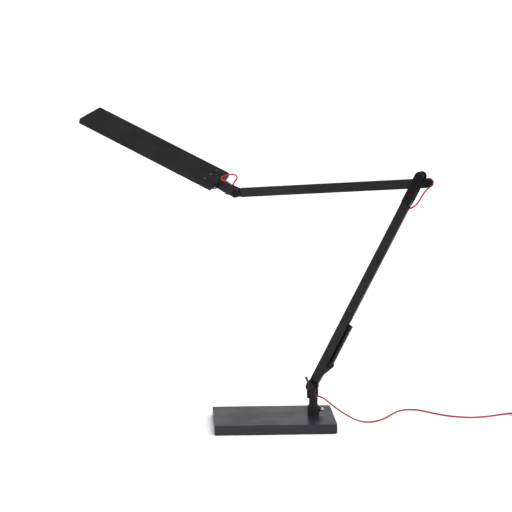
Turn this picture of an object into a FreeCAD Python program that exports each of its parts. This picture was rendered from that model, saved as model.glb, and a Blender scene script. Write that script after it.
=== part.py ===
import FreeCAD, Part
import math
import os

# A table lamp: weighted base, swivel post, two swing arms, a link and a flat light head on a thin cord.
# Millimetres and degrees. The origin is the middle of the base's underside, +Z is up, +X runs along the base.

Vector = FreeCAD.Vector
Placement = FreeCAD.Placement
Rotation = FreeCAD.Rotation
X_AXIS = Vector(1, 0, 0)
Y_AXIS = Vector(0, 1, 0)
Z_AXIS = Vector(0, 0, 1)

# Clearances shared by all fits
RUN = 0.05              # radial play of a pin, shaft or screw in its hole
SLIP = 0.05             # play of a plug in its tube and of a washer beside its neighbour
TURN_GAP = 0.3          # gap between faces that turn past each other
CABLE_PLAY = 0.2        # radial play of the cable in a channel
EXIT_GAP = 0.2          # gap between the end of a loose cable and the face it comes out of
OVERCUT = 1.0           # how far a cutting tool runs past the face it cuts

# Base plate and the pad under it
BASE_LENGTH = 210.0
BASE_DEPTH = 140.0
PLATE_THICK = 16.0
PLATE_CORNER = 3.0
PLATE_EDGE = 0.8
PAD_THICK = 1.2
PAD_INSET = 2.0
POST_INSET = 35.5       # the post's axis, measured from the base's right end

# Socket on the base and the screw that holds it from below
SOCKET_R = 10.3
SOCKET_HEIGHT = 17.2
SOCKET_BORE_DEPTH = 11.0
SOCKET_EDGE = 0.8
SOCKET_SCREW_R = 4.0
SOCKET_SCREW_GRIP = 4.6
SOCKET_SCREW_HEAD_R = 6.5
SOCKET_SCREW_HEAD = 6.0
SOCKET_SCREW_SINK = 1.0
HEX_KEY_R = 3.0
HEX_KEY_DEPTH = 3.5
HEAD_PLAY = 0.3         # radial play round a sunk screw head

# Thumb screw in the socket's side
THUMB_HEIGHT = 9.5
THUMB_R = 2.0
THUMB_HEAD_R = 3.3
THUMB_HEAD = 5.4
THUMB_BOSS_R = 4.4
THUMB_BOSS = 1.8
THUMB_FLUTES = 12
THUMB_FLUTE_R = 0.5

# Swivel post
PIN_R = 5.0
PIN_FLOOR_GAP = 0.5
PIN_GROOVE = 0.8
PIN_GROOVE_WIDTH = 5.0
POST_R = 7.6
POST_HEIGHT = 12.4
POST_TENON_R = 4.0
SWIVEL_WASHER_R = 7.4
SWIVEL_WASHER_THICK = 0.6

# Pivot bolts, their washers, nuts and heads
BOLT_R = 2.5
BOLT_END = 1.6
WASHER_R = 7.0
WASHER_THICK = 0.5
NUT_ACROSS_R = 4.7
NUT_THICK = 4.4
KNOB_R = 5.0
KNOB_THICK = 2.4
KNOB_EDGE = 1.0
CAP_NUT_THICK = 3.6
CAP_NUT_ROOF = 1.0

# Fork on the post
FORK_HALF_WIDTH = 7.6
FORK_CHEEK = 3.9
FORK_CHEEK_R = 8.6
FORK_WEB = 2.4
FORK_EDGE = 2.0
PIVOT_X = -1.5          # the pivot, measured from the post's axis
PIVOT_RISE = 22.5       # the pivot, measured from the fork's underside
TONGUE_THICK = 7.0
TONGUE_R = 10.5

# Clamp lever on the front of the pivot bolt
HUB_R = 7.0
HUB_THICK = 8.2
HUB_EDGE = 1.2
HUB_ROOF = 1.4
HANDLE_R = 1.9
HANDLE_TIP_R = 2.3
HANDLE_REACH = 18.4
HANDLE_ROOT = 3.5
HANDLE_ANGLE = 115.0

# Arm section
ARM_WIDTH = 16.0
ARM_DEPTH = 10.0
ARM_WALL = 1.2
ARM_EDGE = 0.9
PLUG_LENGTH = 26.0
FIX_SCREW_R = 1.5
FIX_SCREW_HEAD_R = 2.7
FIX_SCREW_HEAD = 1.5
FIX_SCREW_GRIP = 4.0
FIX_SCREW_INSET = 12.0
FIX_SCREW_SIDE = -2.5

# Attitude of the arms and head
ARM_YAW = 27.0
LOWER_LEAN = 27.3
UPPER_RISE = 5.2
HEAD_RISE = 23.0
HEAD_ROLL = 16.7

# Lower arm: pivot to elbow, its foot, and the strip pinned to the foot's ear
LOWER_LENGTH = 406.0
FOOT_TOP = 24.0
FOOT_BODY_GAP = 1.1
EAR_X = 13.4
EAR_Z = 50.0
EAR_R = 4.4
EAR_DEPTH = 4.0
EAR_ROOT_Z = 13.0
EAR_KNEE_X = 0.6
EAR_KNEE_Z = 25.5
STRIP_PIN_R = 1.5
STRIP_PIN_HEAD = 1.2
STRIP_LUG = 1.5
STRIP_LUG_R = 4.0
STRIP_DEPTH = 7.6
STRIP_WIDTH = 6.7
STRIP_FLANGE = 3.6      # thickness of the strip's outer side
STRIP_WEB = 1.2         # thickness of the strip's back
STRIP_GAP = 0.5
STRIP_START = 6.0
STRIP_TOP = 130.0

# Elbow
YOKE_FOOT = 38.0        # from the elbow down to the lower tube's end
YOKE_SLOT = 30.0        # from the elbow down to the floor of the slot
YOKE_TIP = 14.0         # from the elbow up to the middle of the round ends
YOKE_CHEEK = 3.0
YOKE_EDGE = 0.8
YOKE_PLUG_SIDE = 2.6
GROMMET_DROP = 43.0
GROMMET_R = 3.4
GROMMET_FLANGE_R = 4.1
GROMMET_FLANGE = 0.8
EXIT_LEAN = 50.0        # between the cable's way out of the lower arm and the arm's length
BUSH_WALL = 0.9

# Upper arm: elbow to head hinge, round free end
UPPER_LENGTH = 332.0
UPPER_TIP = 20.5
UPPER_CAP_STRAIGHT = 0.5  # the end cap's straight part before its round end
UPPER_CAP_PLUG = 7.0
UPPER_CAP_PLUG_LOW = 3.0
CAP_SLOPE = 32.0        # the cable's seat across the round end's lower corner
CAP_SEAT_OUT = 5.5      # the seat, measured from the middle of the round end
CAP_RUN = 8.6           # the cable's straight run along the seat
CAP_TURN_X = 29.3       # where the cable turns in, measured from the elbow
CAP_TURN_IN_X = 27.2
CAP_TURN_IN_Z = 1.9
CAP_LEVEL_X = 8.5       # where the cable is level along the arm again
UPPER_TUBE_GAP = 9.3
TILT_TONGUE_R = 7.3

# Link between the upper arm and the head
LINK_CHEEK = 3.9
LINK_CHEEK_R = 8.2
LINK_SLOT = 13.6
LINK_END = 25.5
LINK_EDGE = 1.4
LINK_HOLE_X = -19.3
LINK_HOLE_Y = -1.5
LINK_HOLE_DEPTH = 2.6
FRICTION_SCREW_X = -16.6
FRICTION_SCREW_R = 1.5
FRICTION_HEAD_R = 3.2
FRICTION_HEAD = 2.8
ROLL_R = 4.0
ROLL_LENGTH = 10.0
ROLL_FLOOR_GAP = 0.5
COLLAR_R = 9.2
COLLAR_LENGTH = 8.2
COLLAR_GROOVE = 0.6
COLLAR_GROOVE_WIDTH = 1.2
CABLE_BORE_R = 1.5

# Light head
HEAD_GAP = 35.6         # from the hinge to the head's near end
HEAD_LENGTH = 284.0
HEAD_WIDTH = 64.0
HEAD_THICK = 10.5
HEAD_LIFT = 4.0         # the head's middle above the roll axis
SHELL_TOP = 1.6
SHELL_SIDE = 1.6
HEAD_CAP = 2.5
HEAD_CORNER = 2.4
HEAD_EDGE = 0.7
COVER_LENGTH = 38.0
COVER_THICK = 1.6
DIFFUSER_THICK = 2.0
DIFFUSER_INSET = 0.3
BRACKET_THICK = 3.2
BRACKET_HALF = 11.0
BRACKET_REACH = 30.0
BRACKET_BOSS_R = 5.5
BRACKET_BOSS = 1.1
FLANGE_THICK = 0.8      # the bracket's flange on the head's near end
FLANGE_HALF = 24.0
FLANGE_LOW_HALF = 9.5
FLANGE_DROP = 3.9       # how far the flange's middle hangs below the head's underside
FLANGE_TOP_INSET = 1.6
BRACKET_SCREW_R = 1.5
BRACKET_SCREW_HEAD_R = 2.8
BRACKET_SCREW_HEAD = 1.0
BRACKET_SCREW_TIP = 0.6
BRACKET_SCREW_FIRST = 11.0
BRACKET_SCREW_PITCH = 12.0
LIGHT_BOARD_THICK = 1.6
LIGHT_BOARD_HALF = 22.0
LIGHT_BOARD_INSET = 4.0
LIGHT_ROWS = 2
LIGHT_COLUMNS = 22
LIGHT_SIZE = 3.0
LIGHT_THICK = 0.8
LIGHT_ROW_PITCH = 22.0

# Controls
BUTTON_INSET = 21.5
BUTTON_PITCH = 20.0
BUTTON_PLACES = (-1, 0, 1)
BUTTON_R = 2.4
BUTTON_PLAY = 0.15
BUTTON_PROUD = 0.45
BUTTON_FLANGE_R = 3.3
BUTTON_FLANGE = 0.8
BUTTON_TRAVEL = 0.5
BUTTON_GAP = 0.1
CONTROL_BOARD_THICK = 1.2
CONTROL_BOARD_LENGTH = 23.0
CONTROL_BOARD_HALF = 26.0
SWITCH_SIZE = 5.0

# Cable, cord and coil
CABLE_R = 1.4
CABLE_OFFSET = 5.0      # the cable's place beside the middle of each arm
LOOP_START_RUN = 4.0    # the elbow loop's straight run out of the lower arm
LOOP_END_RUN = 5.0      # the elbow loop's straight run into the round end
CLAMP_LENGTH = 12.0
CLAMP_HEIGHT = 5.4
CORD_RISE = 1.7         # the cord's middle above the fork's web
ARC_SHARE = 0.45        # share of the shorter run that an arc takes on each side of its point
COIL_MID_R = 14.4
COIL_STEP = 3.3
COIL_HALF_TURNS = 6
COIL_LAYERS = 4
TIE_THICK = 0.9
TIE_WIDTH = 6.0
TIE_PLAY = 0.8

# Plug-in supply at the cord's far end
RELIEF_LENGTH = 22.0
RELIEF_TIP_R = 1.8
RELIEF_ROOT_R = 3.4
ADAPTER_LENGTH = 44.0
ADAPTER_HALF = 18.0
ADAPTER_HEIGHT = 26.0
ADAPTER_SPLIT = 16.0
ADAPTER_WALL = 2.0
ADAPTER_EDGE = 3.0
PLUG_PIN_R = 2.0
PLUG_PIN_OUT = 19.0
PLUG_PIN_HALF_PITCH = 9.3
PLUG_PIN_HEIGHT = 9.0

# Heights and places that follow from the sizes above
POST_X = BASE_LENGTH / 2 - POST_INSET
BASE_TOP = PAD_THICK + PLATE_THICK
SOCKET_TOP = BASE_TOP + SOCKET_HEIGHT
POST_FOOT = SOCKET_TOP + SWIVEL_WASHER_THICK + SLIP
FORK_FOOT = POST_FOOT + POST_HEIGHT
PIVOT_Z = FORK_FOOT + PIVOT_RISE
BESIDE = WASHER_THICK + SLIP
FORK_INNER = TONGUE_THICK / 2 + BESIDE
FORK_OUTER = FORK_INNER + FORK_CHEEK
YOKE_INNER = ARM_DEPTH / 2 + BESIDE
YOKE_OUTER = YOKE_INNER + YOKE_CHEEK
LINK_INNER = TONGUE_THICK / 2 + BESIDE
LINK_OUTER = LINK_INNER + LINK_CHEEK
ARM_HALF = ARM_WIDTH / 2
ARM_BACK = ARM_DEPTH / 2
UPPER_CAP_START = UPPER_TIP - ARM_HALF - UPPER_CAP_STRAIGHT
PLUG_HALF = ARM_HALF - ARM_WALL - SLIP
PLUG_BACK = ARM_BACK - ARM_WALL - SLIP
CHANNEL_R = CABLE_R + CABLE_PLAY
HEAD_NEAR = -HEAD_GAP
HEAD_FAR = HEAD_NEAR - HEAD_LENGTH
HEAD_TOP = HEAD_LIFT + HEAD_THICK / 2
HEAD_BOTTOM = HEAD_LIFT - HEAD_THICK / 2
UNDER_TOP = HEAD_TOP - SHELL_TOP
SHELL_NEAR = HEAD_NEAR - HEAD_CAP
SHELL_FAR = HEAD_FAR + HEAD_CAP
INSIDE_HALF = HEAD_WIDTH / 2 - SHELL_SIDE - SLIP
COVER_END = SHELL_NEAR - COVER_LENGTH
BRACKET_FOOT = HEAD_BOTTOM + COVER_THICK
BRACKET_TOP = BRACKET_FOOT + BRACKET_THICK
COLLAR_NEAR = -LINK_END - TURN_GAP
COLLAR_FAR = COLLAR_NEAR - COLLAR_LENGTH
BUTTON_X = HEAD_NEAR - BUTTON_INSET
CORD_Z = FORK_FOOT + FORK_WEB + CORD_RISE
COIL_OUTER_R = COIL_MID_R + COIL_STEP * COIL_HALF_TURNS / 4
COIL_FLOOR = TIE_THICK + CABLE_R + SLIP

# Frames: each piece is drawn in the frame of the body that carries it
BASE = Placement()
SWIVEL = Placement(Vector(POST_X, 0, 0), Rotation(Z_AXIS, -ARM_YAW))
LOWER = SWIVEL.multiply(Placement(Vector(PIVOT_X, 0, PIVOT_Z), Rotation(Y_AXIS, LOWER_LEAN)))
ELBOW = LOWER.multiply(Placement(Vector(0, 0, LOWER_LENGTH), Rotation()))
UPPER = ELBOW.multiply(Placement(Vector(), Rotation(Y_AXIS, -LOWER_LEAN - UPPER_RISE)))
LINK = UPPER.multiply(Placement(Vector(-UPPER_LENGTH, 0, 0), Rotation(Y_AXIS, UPPER_RISE + HEAD_RISE)))
HEAD = LINK.multiply(Placement(Vector(), Rotation(X_AXIS, HEAD_ROLL)))

# The free cord's route along the table, from the cord clamp to the coil, with x measured from the post's axis
CORD_POINTS = [
    (14, -7.2, 50.6),
    (23.5, -8.6, 43.5),
    (37.5, -7.4, 31.5),
    (54.5, -4.6, 19),
    (71.5, -2, 8.5),
    (88.5, 0.4, 2.4),
    (105.5, 6, CABLE_R),
    (121.5, 19, CABLE_R),
    (135.5, 40, CABLE_R),
    (147.5, 62.5, CABLE_R),
    (160.5, 83, CABLE_R),
    (179.5, 95, CABLE_R),
    (200.5, 87, CABLE_R),
    (216.5, 68.5, CABLE_R),
    (233.5, 49.5, CABLE_R),
    (256.5, 34, CABLE_R),
    (284.5, 27, CABLE_R),
    (313.5, 33, CABLE_R),
    (339.5, 47, CABLE_R),
    (363.5, 53, COIL_FLOOR),
    (382.5, 53, COIL_FLOOR),
]
CORD_START = SWIVEL.multVec(Vector(PIVOT_X + FORK_HALF_WIDTH + EXIT_GAP, 0, CORD_Z))
CORD_ROUTE = [CORD_START] + [Vector(POST_X + x, y, z) for x, y, z in CORD_POINTS]

# The elbow loop's middle points in the elbow's frame, and the head loop's route in the link's frame
ELBOW_LOOP = [
    Vector(15.2, -0.5, -35.0),
    Vector(16.9, -1.0, -28.6),
    Vector(17.7, -1.3, -20.5),
    Vector(18.4, -1.2, -11.5),
    Vector(19.1, -0.7, -4.0),
]
HEAD_LOOP = [
    Vector(-12.0, 0, 4.2),
    Vector(-12.0, -0.4, 10.2),
    Vector(-10.8, -1.0, 16.2),
    Vector(-8.6, -1.8, 22.2),
    Vector(-9.0, -2.6, 27.0),
    Vector(-13.4, -3.4, 28.8),
    Vector(-20.0, -4.6, 27.0),
    Vector(-27.0, -6.4, 22.4),
    Vector(-31.8, -8.0, 17.4),
    Vector(-33.4, -9.2, 12.6),
    Vector(-28.8, -7.8, 10.7),
    Vector(-24.4, -5.2, 10.8),
    Vector(-21.2, -2.8, 10.9),
    Vector(LINK_HOLE_X, LINK_HOLE_Y, 9.0),
    Vector(LINK_HOLE_X, LINK_HOLE_Y, ARM_HALF - LINK_HOLE_DEPTH + SLIP),
]


def block(x0, x1, y0, y1, z0, z1):
    """Box between two values on each axis."""
    return Part.makeBox(x1 - x0, y1 - y0, z1 - z0, Vector(x0, y0, z0))


def rod(radius, start, axis, length):
    """Cylinder from a point along an axis."""
    return Part.makeCylinder(radius, length, start, axis)


def ring(outer, inner, start, axis, length):
    """Washer or tube from a point along an axis."""
    hole = rod(inner, start - axis * OVERCUT, axis, length + 2 * OVERCUT)
    return rod(outer, start, axis, length).cut(hole)


def rod_y(radius, x, z, y0, y1):
    """Cylinder along Y between two depths."""
    return rod(radius, Vector(x, y0, z), Y_AXIS, y1 - y0)


def fuse(*shapes):
    """One solid from overlapping solids, without seams between flush faces."""
    return shapes[0].multiFuse(list(shapes[1:])).removeSplitter()


def cut(shape, *tools):
    """Solid with the tools taken away."""
    for tool in tools:
        shape = shape.cut(tool)
    return shape


def edges_along(shape, axis):
    """Straight edges of a solid that run along an axis."""
    found = []
    for edge in shape.Edges:
        if isinstance(edge.Curve, Part.Line) and abs(edge.Curve.Direction.dot(axis)) > 0.999:
            found.append(edge)
    return found


def edges_at(shape, axis, value):
    """Edges of a solid that lie whole in the plane at one value on an axis."""
    found = []
    for edge in shape.Edges:
        box = edge.BoundBox
        low = Vector(box.XMin, box.YMin, box.ZMin).dot(axis)
        high = Vector(box.XMax, box.YMax, box.ZMax).dot(axis)
        if abs(low - value) < 0.01 and abs(high - value) < 0.01:
            found.append(edge)
    return found


def soft_block(x0, x1, y0, y1, z0, z1, radius, axis):
    """Box whose four edges along an axis are rounded."""
    shape = block(x0, x1, y0, y1, z0, z1)
    return shape.makeFillet(radius, edges_along(shape, axis))


def stadium(x0, x1, half, y0, y1):
    """Plate across Y from x0 to a round end centred at x1, half as tall each way."""
    return fuse(block(x0, x1, y0, y1, -half, half), rod_y(half, x1, 0, y0, y1))


def arc_through(start, corner, end):
    """Arc that leaves start and reaches end along the two equal legs that meet at the corner."""
    middle = (start + end) * 0.5
    leg = (corner - start).Length
    half_chord = (end - start).Length / 2
    lean = math.acos(min(1.0, half_chord / leg))
    towards = (corner - middle).normalize()
    return Part.Arc(start, middle + towards * half_chord * math.tan(lean / 2), end).toShape()


def rounded_edges(points):
    """Straight runs joined by tangent arcs through a route's points, and the arcs' least radius."""
    edges = []
    least = math.inf
    last = points[0]
    for before, corner, after in zip(points, points[1:], points[2:]):
        came = corner - before
        goes = after - corner
        leg = ARC_SHARE * min(came.Length, goes.Length)
        turn = came.getAngle(goes)
        least = min(least, leg / math.tan(turn / 2))
        start = corner - came.normalize() * leg
        end = corner + goes.normalize() * leg
        edges.append(Part.LineSegment(last, start).toShape())
        edges.append(arc_through(start, corner, end))
        last = end
    edges.append(Part.LineSegment(last, points[-1]).toShape())
    return edges, least


def sweep(edges, radius):
    """Round tube along tangent edges."""
    first = edges[0]
    start = first.valueAt(first.FirstParameter)
    along = first.tangentAt(first.FirstParameter)
    profile = Part.Wire(Part.Circle(start, along, radius).toShape())
    return Part.Wire(edges).makePipeShell([profile], True, False)


def cable(name, points):
    """Cable along a route, with its least bend and its volume printed against section times length."""
    edges, least = rounded_edges(points)
    shape = sweep(edges, CABLE_R)
    length = sum(edge.Length for edge in edges)
    share = shape.Volume / (math.pi * CABLE_R ** 2 * length)
    print(f"{name}: length {length:.1f}, least radius {least:.2f}, volume share {share:.4f}")
    return shape


def domed(radius, thick, edge, start, axis):
    """Disc whose far rim is rounded."""
    shape = rod(radius, start, axis, thick)
    return shape.makeFillet(edge, edges_at(shape, axis, start.dot(axis) + thick))


def hexagon(radius, start, axis, length):
    """Six-sided prism along an axis, standing on one corner radius."""
    turn = Rotation(Z_AXIS, axis)
    corners = [turn.multVec(Vector(radius * math.cos(a), radius * math.sin(a), 0))
               for a in (math.radians(60 * k) for k in range(7))]
    face = Part.Face(Part.makePolygon([start + corner for corner in corners]))
    return face.extrude(axis * length)


def arm_tube(start, end):
    """Rectangular arm tube along Z, open at both ends."""
    outer = soft_block(-ARM_HALF, ARM_HALF, -ARM_BACK, ARM_BACK, start, end, ARM_EDGE, Z_AXIS)
    half = ARM_HALF - ARM_WALL
    back = ARM_BACK - ARM_WALL
    return outer.cut(block(-half, half, -back, back, start - OVERCUT, end + OVERCUT))


def laid(shape):
    """Shape drawn along Z, laid so that it runs along X with its former X side down."""
    shape.Placement = Placement(Vector(), Rotation(Y_AXIS, 90)).multiply(shape.Placement)
    return shape


def fix_screw(x, z):
    """Small screw from behind through an arm tube into the plug inside it."""
    head = domed(FIX_SCREW_HEAD_R, FIX_SCREW_HEAD, FIX_SCREW_HEAD / 3, Vector(x, ARM_BACK, z), Y_AXIS)
    return fuse(head, rod_y(FIX_SCREW_R, x, z, ARM_BACK - FIX_SCREW_GRIP, ARM_BACK + SLIP))


def fix_hole(x, z):
    """Hole for that screw through the tube's wall and into the plug."""
    return rod_y(FIX_SCREW_R + RUN, x, z, ARM_BACK - FIX_SCREW_GRIP - SLIP, ARM_BACK + OVERCUT)


def pair_of_washers(inner_face):
    """Two washers against the inner faces of a fork's cheeks."""
    front = ring(WASHER_R, BOLT_R + RUN, Vector(0, -inner_face, 0), Y_AXIS, WASHER_THICK)
    rear = ring(WASHER_R, BOLT_R + RUN, Vector(0, inner_face - WASHER_THICK, 0), Y_AXIS, WASHER_THICK)
    return Part.makeCompound([front, rear])


def headed_bolt(outer_face):
    """Pivot bolt with a round front head, long enough for the cap nut behind."""
    head = domed(KNOB_R, KNOB_THICK, KNOB_EDGE, Vector(0, -outer_face, 0), Y_AXIS * -1)
    end = outer_face + CAP_NUT_THICK - CAP_NUT_ROOF - SLIP
    return fuse(head, rod_y(BOLT_R, 0, 0, -outer_face - SLIP, end))


def cap_nut(outer_face):
    """Round nut behind a pivot, closed at its back."""
    nut = domed(KNOB_R, CAP_NUT_THICK, KNOB_EDGE, Vector(0, outer_face, 0), Y_AXIS)
    depth = CAP_NUT_THICK - CAP_NUT_ROOF
    return nut.cut(rod_y(BOLT_R + RUN, 0, 0, outer_face - OVERCUT, outer_face + depth))


def base_plate():
    half = BASE_LENGTH / 2
    deep = BASE_DEPTH / 2
    plate = soft_block(-half, half, -deep, deep, PAD_THICK, BASE_TOP, PLATE_CORNER, Z_AXIS)
    plate = plate.makeFillet(PLATE_EDGE, edges_at(plate, Z_AXIS, BASE_TOP))
    seat = SOCKET_SCREW_SINK + SOCKET_SCREW_HEAD
    below = Vector(POST_X, 0, PAD_THICK - OVERCUT)
    counterbore = rod(SOCKET_SCREW_HEAD_R + HEAD_PLAY, below, Z_AXIS, seat + OVERCUT)
    return cut(plate, counterbore, rod(SOCKET_SCREW_R + RUN, below, Z_AXIS, PLATE_THICK + 2 * OVERCUT))


def base_pad():
    half = BASE_LENGTH / 2 - PAD_INSET
    deep = BASE_DEPTH / 2 - PAD_INSET
    pad = soft_block(-half, half, -deep, deep, 0, PAD_THICK, PLATE_CORNER, Z_AXIS)
    below = Vector(POST_X, 0, -OVERCUT)
    return pad.cut(rod(SOCKET_SCREW_HEAD_R + HEAD_PLAY, below, Z_AXIS, PAD_THICK + 2 * OVERCUT))


def post_socket():
    body = rod(SOCKET_R, Vector(POST_X, 0, BASE_TOP), Z_AXIS, SOCKET_HEIGHT)
    body = body.makeFillet(SOCKET_EDGE, edges_at(body, Z_AXIS, SOCKET_TOP))
    middle = Vector(POST_X, 0, BASE_TOP + THUMB_HEIGHT)
    body = fuse(body, rod(THUMB_BOSS_R, middle, X_AXIS, SOCKET_R + THUMB_BOSS))
    bore_floor = Vector(POST_X, 0, SOCKET_TOP - SOCKET_BORE_DEPTH)
    bore = rod(PIN_R + RUN, bore_floor, Z_AXIS, SOCKET_BORE_DEPTH + OVERCUT)
    thread = rod(SOCKET_SCREW_R + RUN, Vector(POST_X, 0, BASE_TOP - OVERCUT), Z_AXIS,
                 SOCKET_SCREW_GRIP + SLIP + OVERCUT)
    side = rod(THUMB_R + RUN, middle, X_AXIS, SOCKET_R + THUMB_BOSS + OVERCUT)
    return cut(body, bore, thread, side)


def socket_screw():
    foot = Vector(POST_X, 0, PAD_THICK + SOCKET_SCREW_SINK)
    head = rod(SOCKET_SCREW_HEAD_R, foot, Z_AXIS, SOCKET_SCREW_HEAD)
    length = BASE_TOP + SOCKET_SCREW_GRIP - foot.z
    key = hexagon(HEX_KEY_R, foot - Z_AXIS * OVERCUT, Z_AXIS, HEX_KEY_DEPTH + OVERCUT)
    return cut(fuse(head, rod(SOCKET_SCREW_R, foot, Z_AXIS, length)), key)


def swivel_washer():
    return ring(SWIVEL_WASHER_R, PIN_R + RUN, Vector(POST_X, 0, SOCKET_TOP), Z_AXIS, SWIVEL_WASHER_THICK)


def thumb_screw():
    height = BASE_TOP + THUMB_HEIGHT
    face = POST_X + SOCKET_R + THUMB_BOSS + TURN_GAP
    tip = Vector(POST_X + PIN_R + TURN_GAP, 0, height)
    head = rod(THUMB_HEAD_R, Vector(face, 0, height), X_AXIS, THUMB_HEAD)
    for k in range(THUMB_FLUTES):
        angle = 2 * math.pi * k / THUMB_FLUTES
        rim = Vector(face - OVERCUT, THUMB_HEAD_R * math.cos(angle), height + THUMB_HEAD_R * math.sin(angle))
        head = head.cut(rod(THUMB_FLUTE_R, rim, X_AXIS, THUMB_HEAD + 2 * OVERCUT))
    return fuse(head, rod(THUMB_R, tip, X_AXIS, face + OVERCUT - tip.x))


def swivel_post():
    foot = SOCKET_TOP - SOCKET_BORE_DEPTH + PIN_FLOOR_GAP
    pin = rod(PIN_R, Vector(0, 0, foot), Z_AXIS, POST_FOOT - foot + SLIP)
    collar = rod(POST_R, Vector(0, 0, POST_FOOT), Z_AXIS, POST_HEIGHT)
    tenon = rod(POST_TENON_R, Vector(0, 0, FORK_FOOT - SLIP), Z_AXIS, FORK_WEB + SLIP)
    low = BASE_TOP + THUMB_HEIGHT - PIN_GROOVE_WIDTH / 2
    groove = ring(PIN_R + OVERCUT, PIN_R - PIN_GROOVE, Vector(0, 0, low), Z_AXIS, PIN_GROOVE_WIDTH)
    return fuse(pin, collar, tenon).cut(groove)


def pivot_fork():
    left = PIVOT_X - FORK_HALF_WIDTH
    right = PIVOT_X + FORK_HALF_WIDTH
    body = block(left, right, -FORK_OUTER, FORK_OUTER, FORK_FOOT, PIVOT_Z)
    lower = [edge for edge in edges_along(body, Y_AXIS) if edge.BoundBox.ZMax < FORK_FOOT + SLIP]
    body = body.makeFillet(FORK_EDGE, lower)
    body = fuse(body, rod_y(FORK_CHEEK_R, PIVOT_X, PIVOT_Z, -FORK_OUTER, FORK_OUTER))
    reach = FORK_HALF_WIDTH + FORK_CHEEK_R + OVERCUT
    slot = block(-reach, reach, -FORK_INNER, FORK_INNER, FORK_FOOT + FORK_WEB, PIVOT_Z + reach)
    bolt = rod_y(BOLT_R + RUN, PIVOT_X, PIVOT_Z, -FORK_OUTER - OVERCUT, FORK_OUTER + OVERCUT)
    tenon = rod(POST_TENON_R + RUN, Vector(0, 0, FORK_FOOT - OVERCUT), Z_AXIS, FORK_WEB + 2 * OVERCUT)
    return cut(body, slot, bolt, tenon)


def pivot_bolt():
    front = -FORK_OUTER - TURN_GAP - HUB_THICK + HUB_ROOF + SLIP
    rear = FORK_OUTER + NUT_THICK + BOLT_END
    stud = rod_y(BOLT_R, PIVOT_X, PIVOT_Z, front, rear)
    return stud.makeFillet(BOLT_R / 2, edges_at(stud, Y_AXIS, rear))


def pivot_nut():
    nut = hexagon(NUT_ACROSS_R, Vector(PIVOT_X, FORK_OUTER, PIVOT_Z), Y_AXIS, NUT_THICK)
    rear = FORK_OUTER + NUT_THICK + OVERCUT
    return nut.cut(rod_y(BOLT_R + RUN, PIVOT_X, PIVOT_Z, FORK_OUTER - OVERCUT, rear))


def pivot_washers():
    washers = pair_of_washers(FORK_INNER)
    washers.translate(Vector(PIVOT_X, 0, PIVOT_Z))
    return washers


def cord_clamp():
    floor = FORK_FOOT + FORK_WEB
    top = floor + CLAMP_HEIGHT
    right = PIVOT_X + FORK_HALF_WIDTH
    side = FORK_INNER - SLIP
    return soft_block(right - CLAMP_LENGTH, right, -side, side, floor, top, SOCKET_EDGE, Y_AXIS)


def handle_direction():
    angle = math.radians(HANDLE_ANGLE)
    return Vector(math.cos(angle), 0, math.sin(angle))


def handle_middle():
    return Vector(PIVOT_X, -FORK_OUTER - TURN_GAP - HUB_THICK / 2, PIVOT_Z)


def clamp_hub():
    face = Vector(PIVOT_X, -FORK_OUTER - TURN_GAP, PIVOT_Z)
    hub = domed(HUB_R, HUB_THICK, HUB_EDGE, face, Y_AXIS * -1)
    depth = HUB_THICK - HUB_ROOF
    bore = rod_y(BOLT_R + RUN, PIVOT_X, PIVOT_Z, face.y - depth, face.y + OVERCUT)
    along = handle_direction()
    root = handle_middle() + along * (HUB_R - HANDLE_ROOT)
    return cut(hub, bore, rod(HANDLE_R + RUN, root, along, HANDLE_ROOT + OVERCUT))


def clamp_handle():
    along = handle_direction()
    start = handle_middle() + along * (HUB_R - HANDLE_ROOT)
    tip = handle_middle() + along * (HANDLE_REACH - HANDLE_TIP_R)
    stem = rod(HANDLE_R, start, along, (tip - start).Length)
    return fuse(stem, Part.makeSphere(HANDLE_TIP_R, tip))


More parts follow.
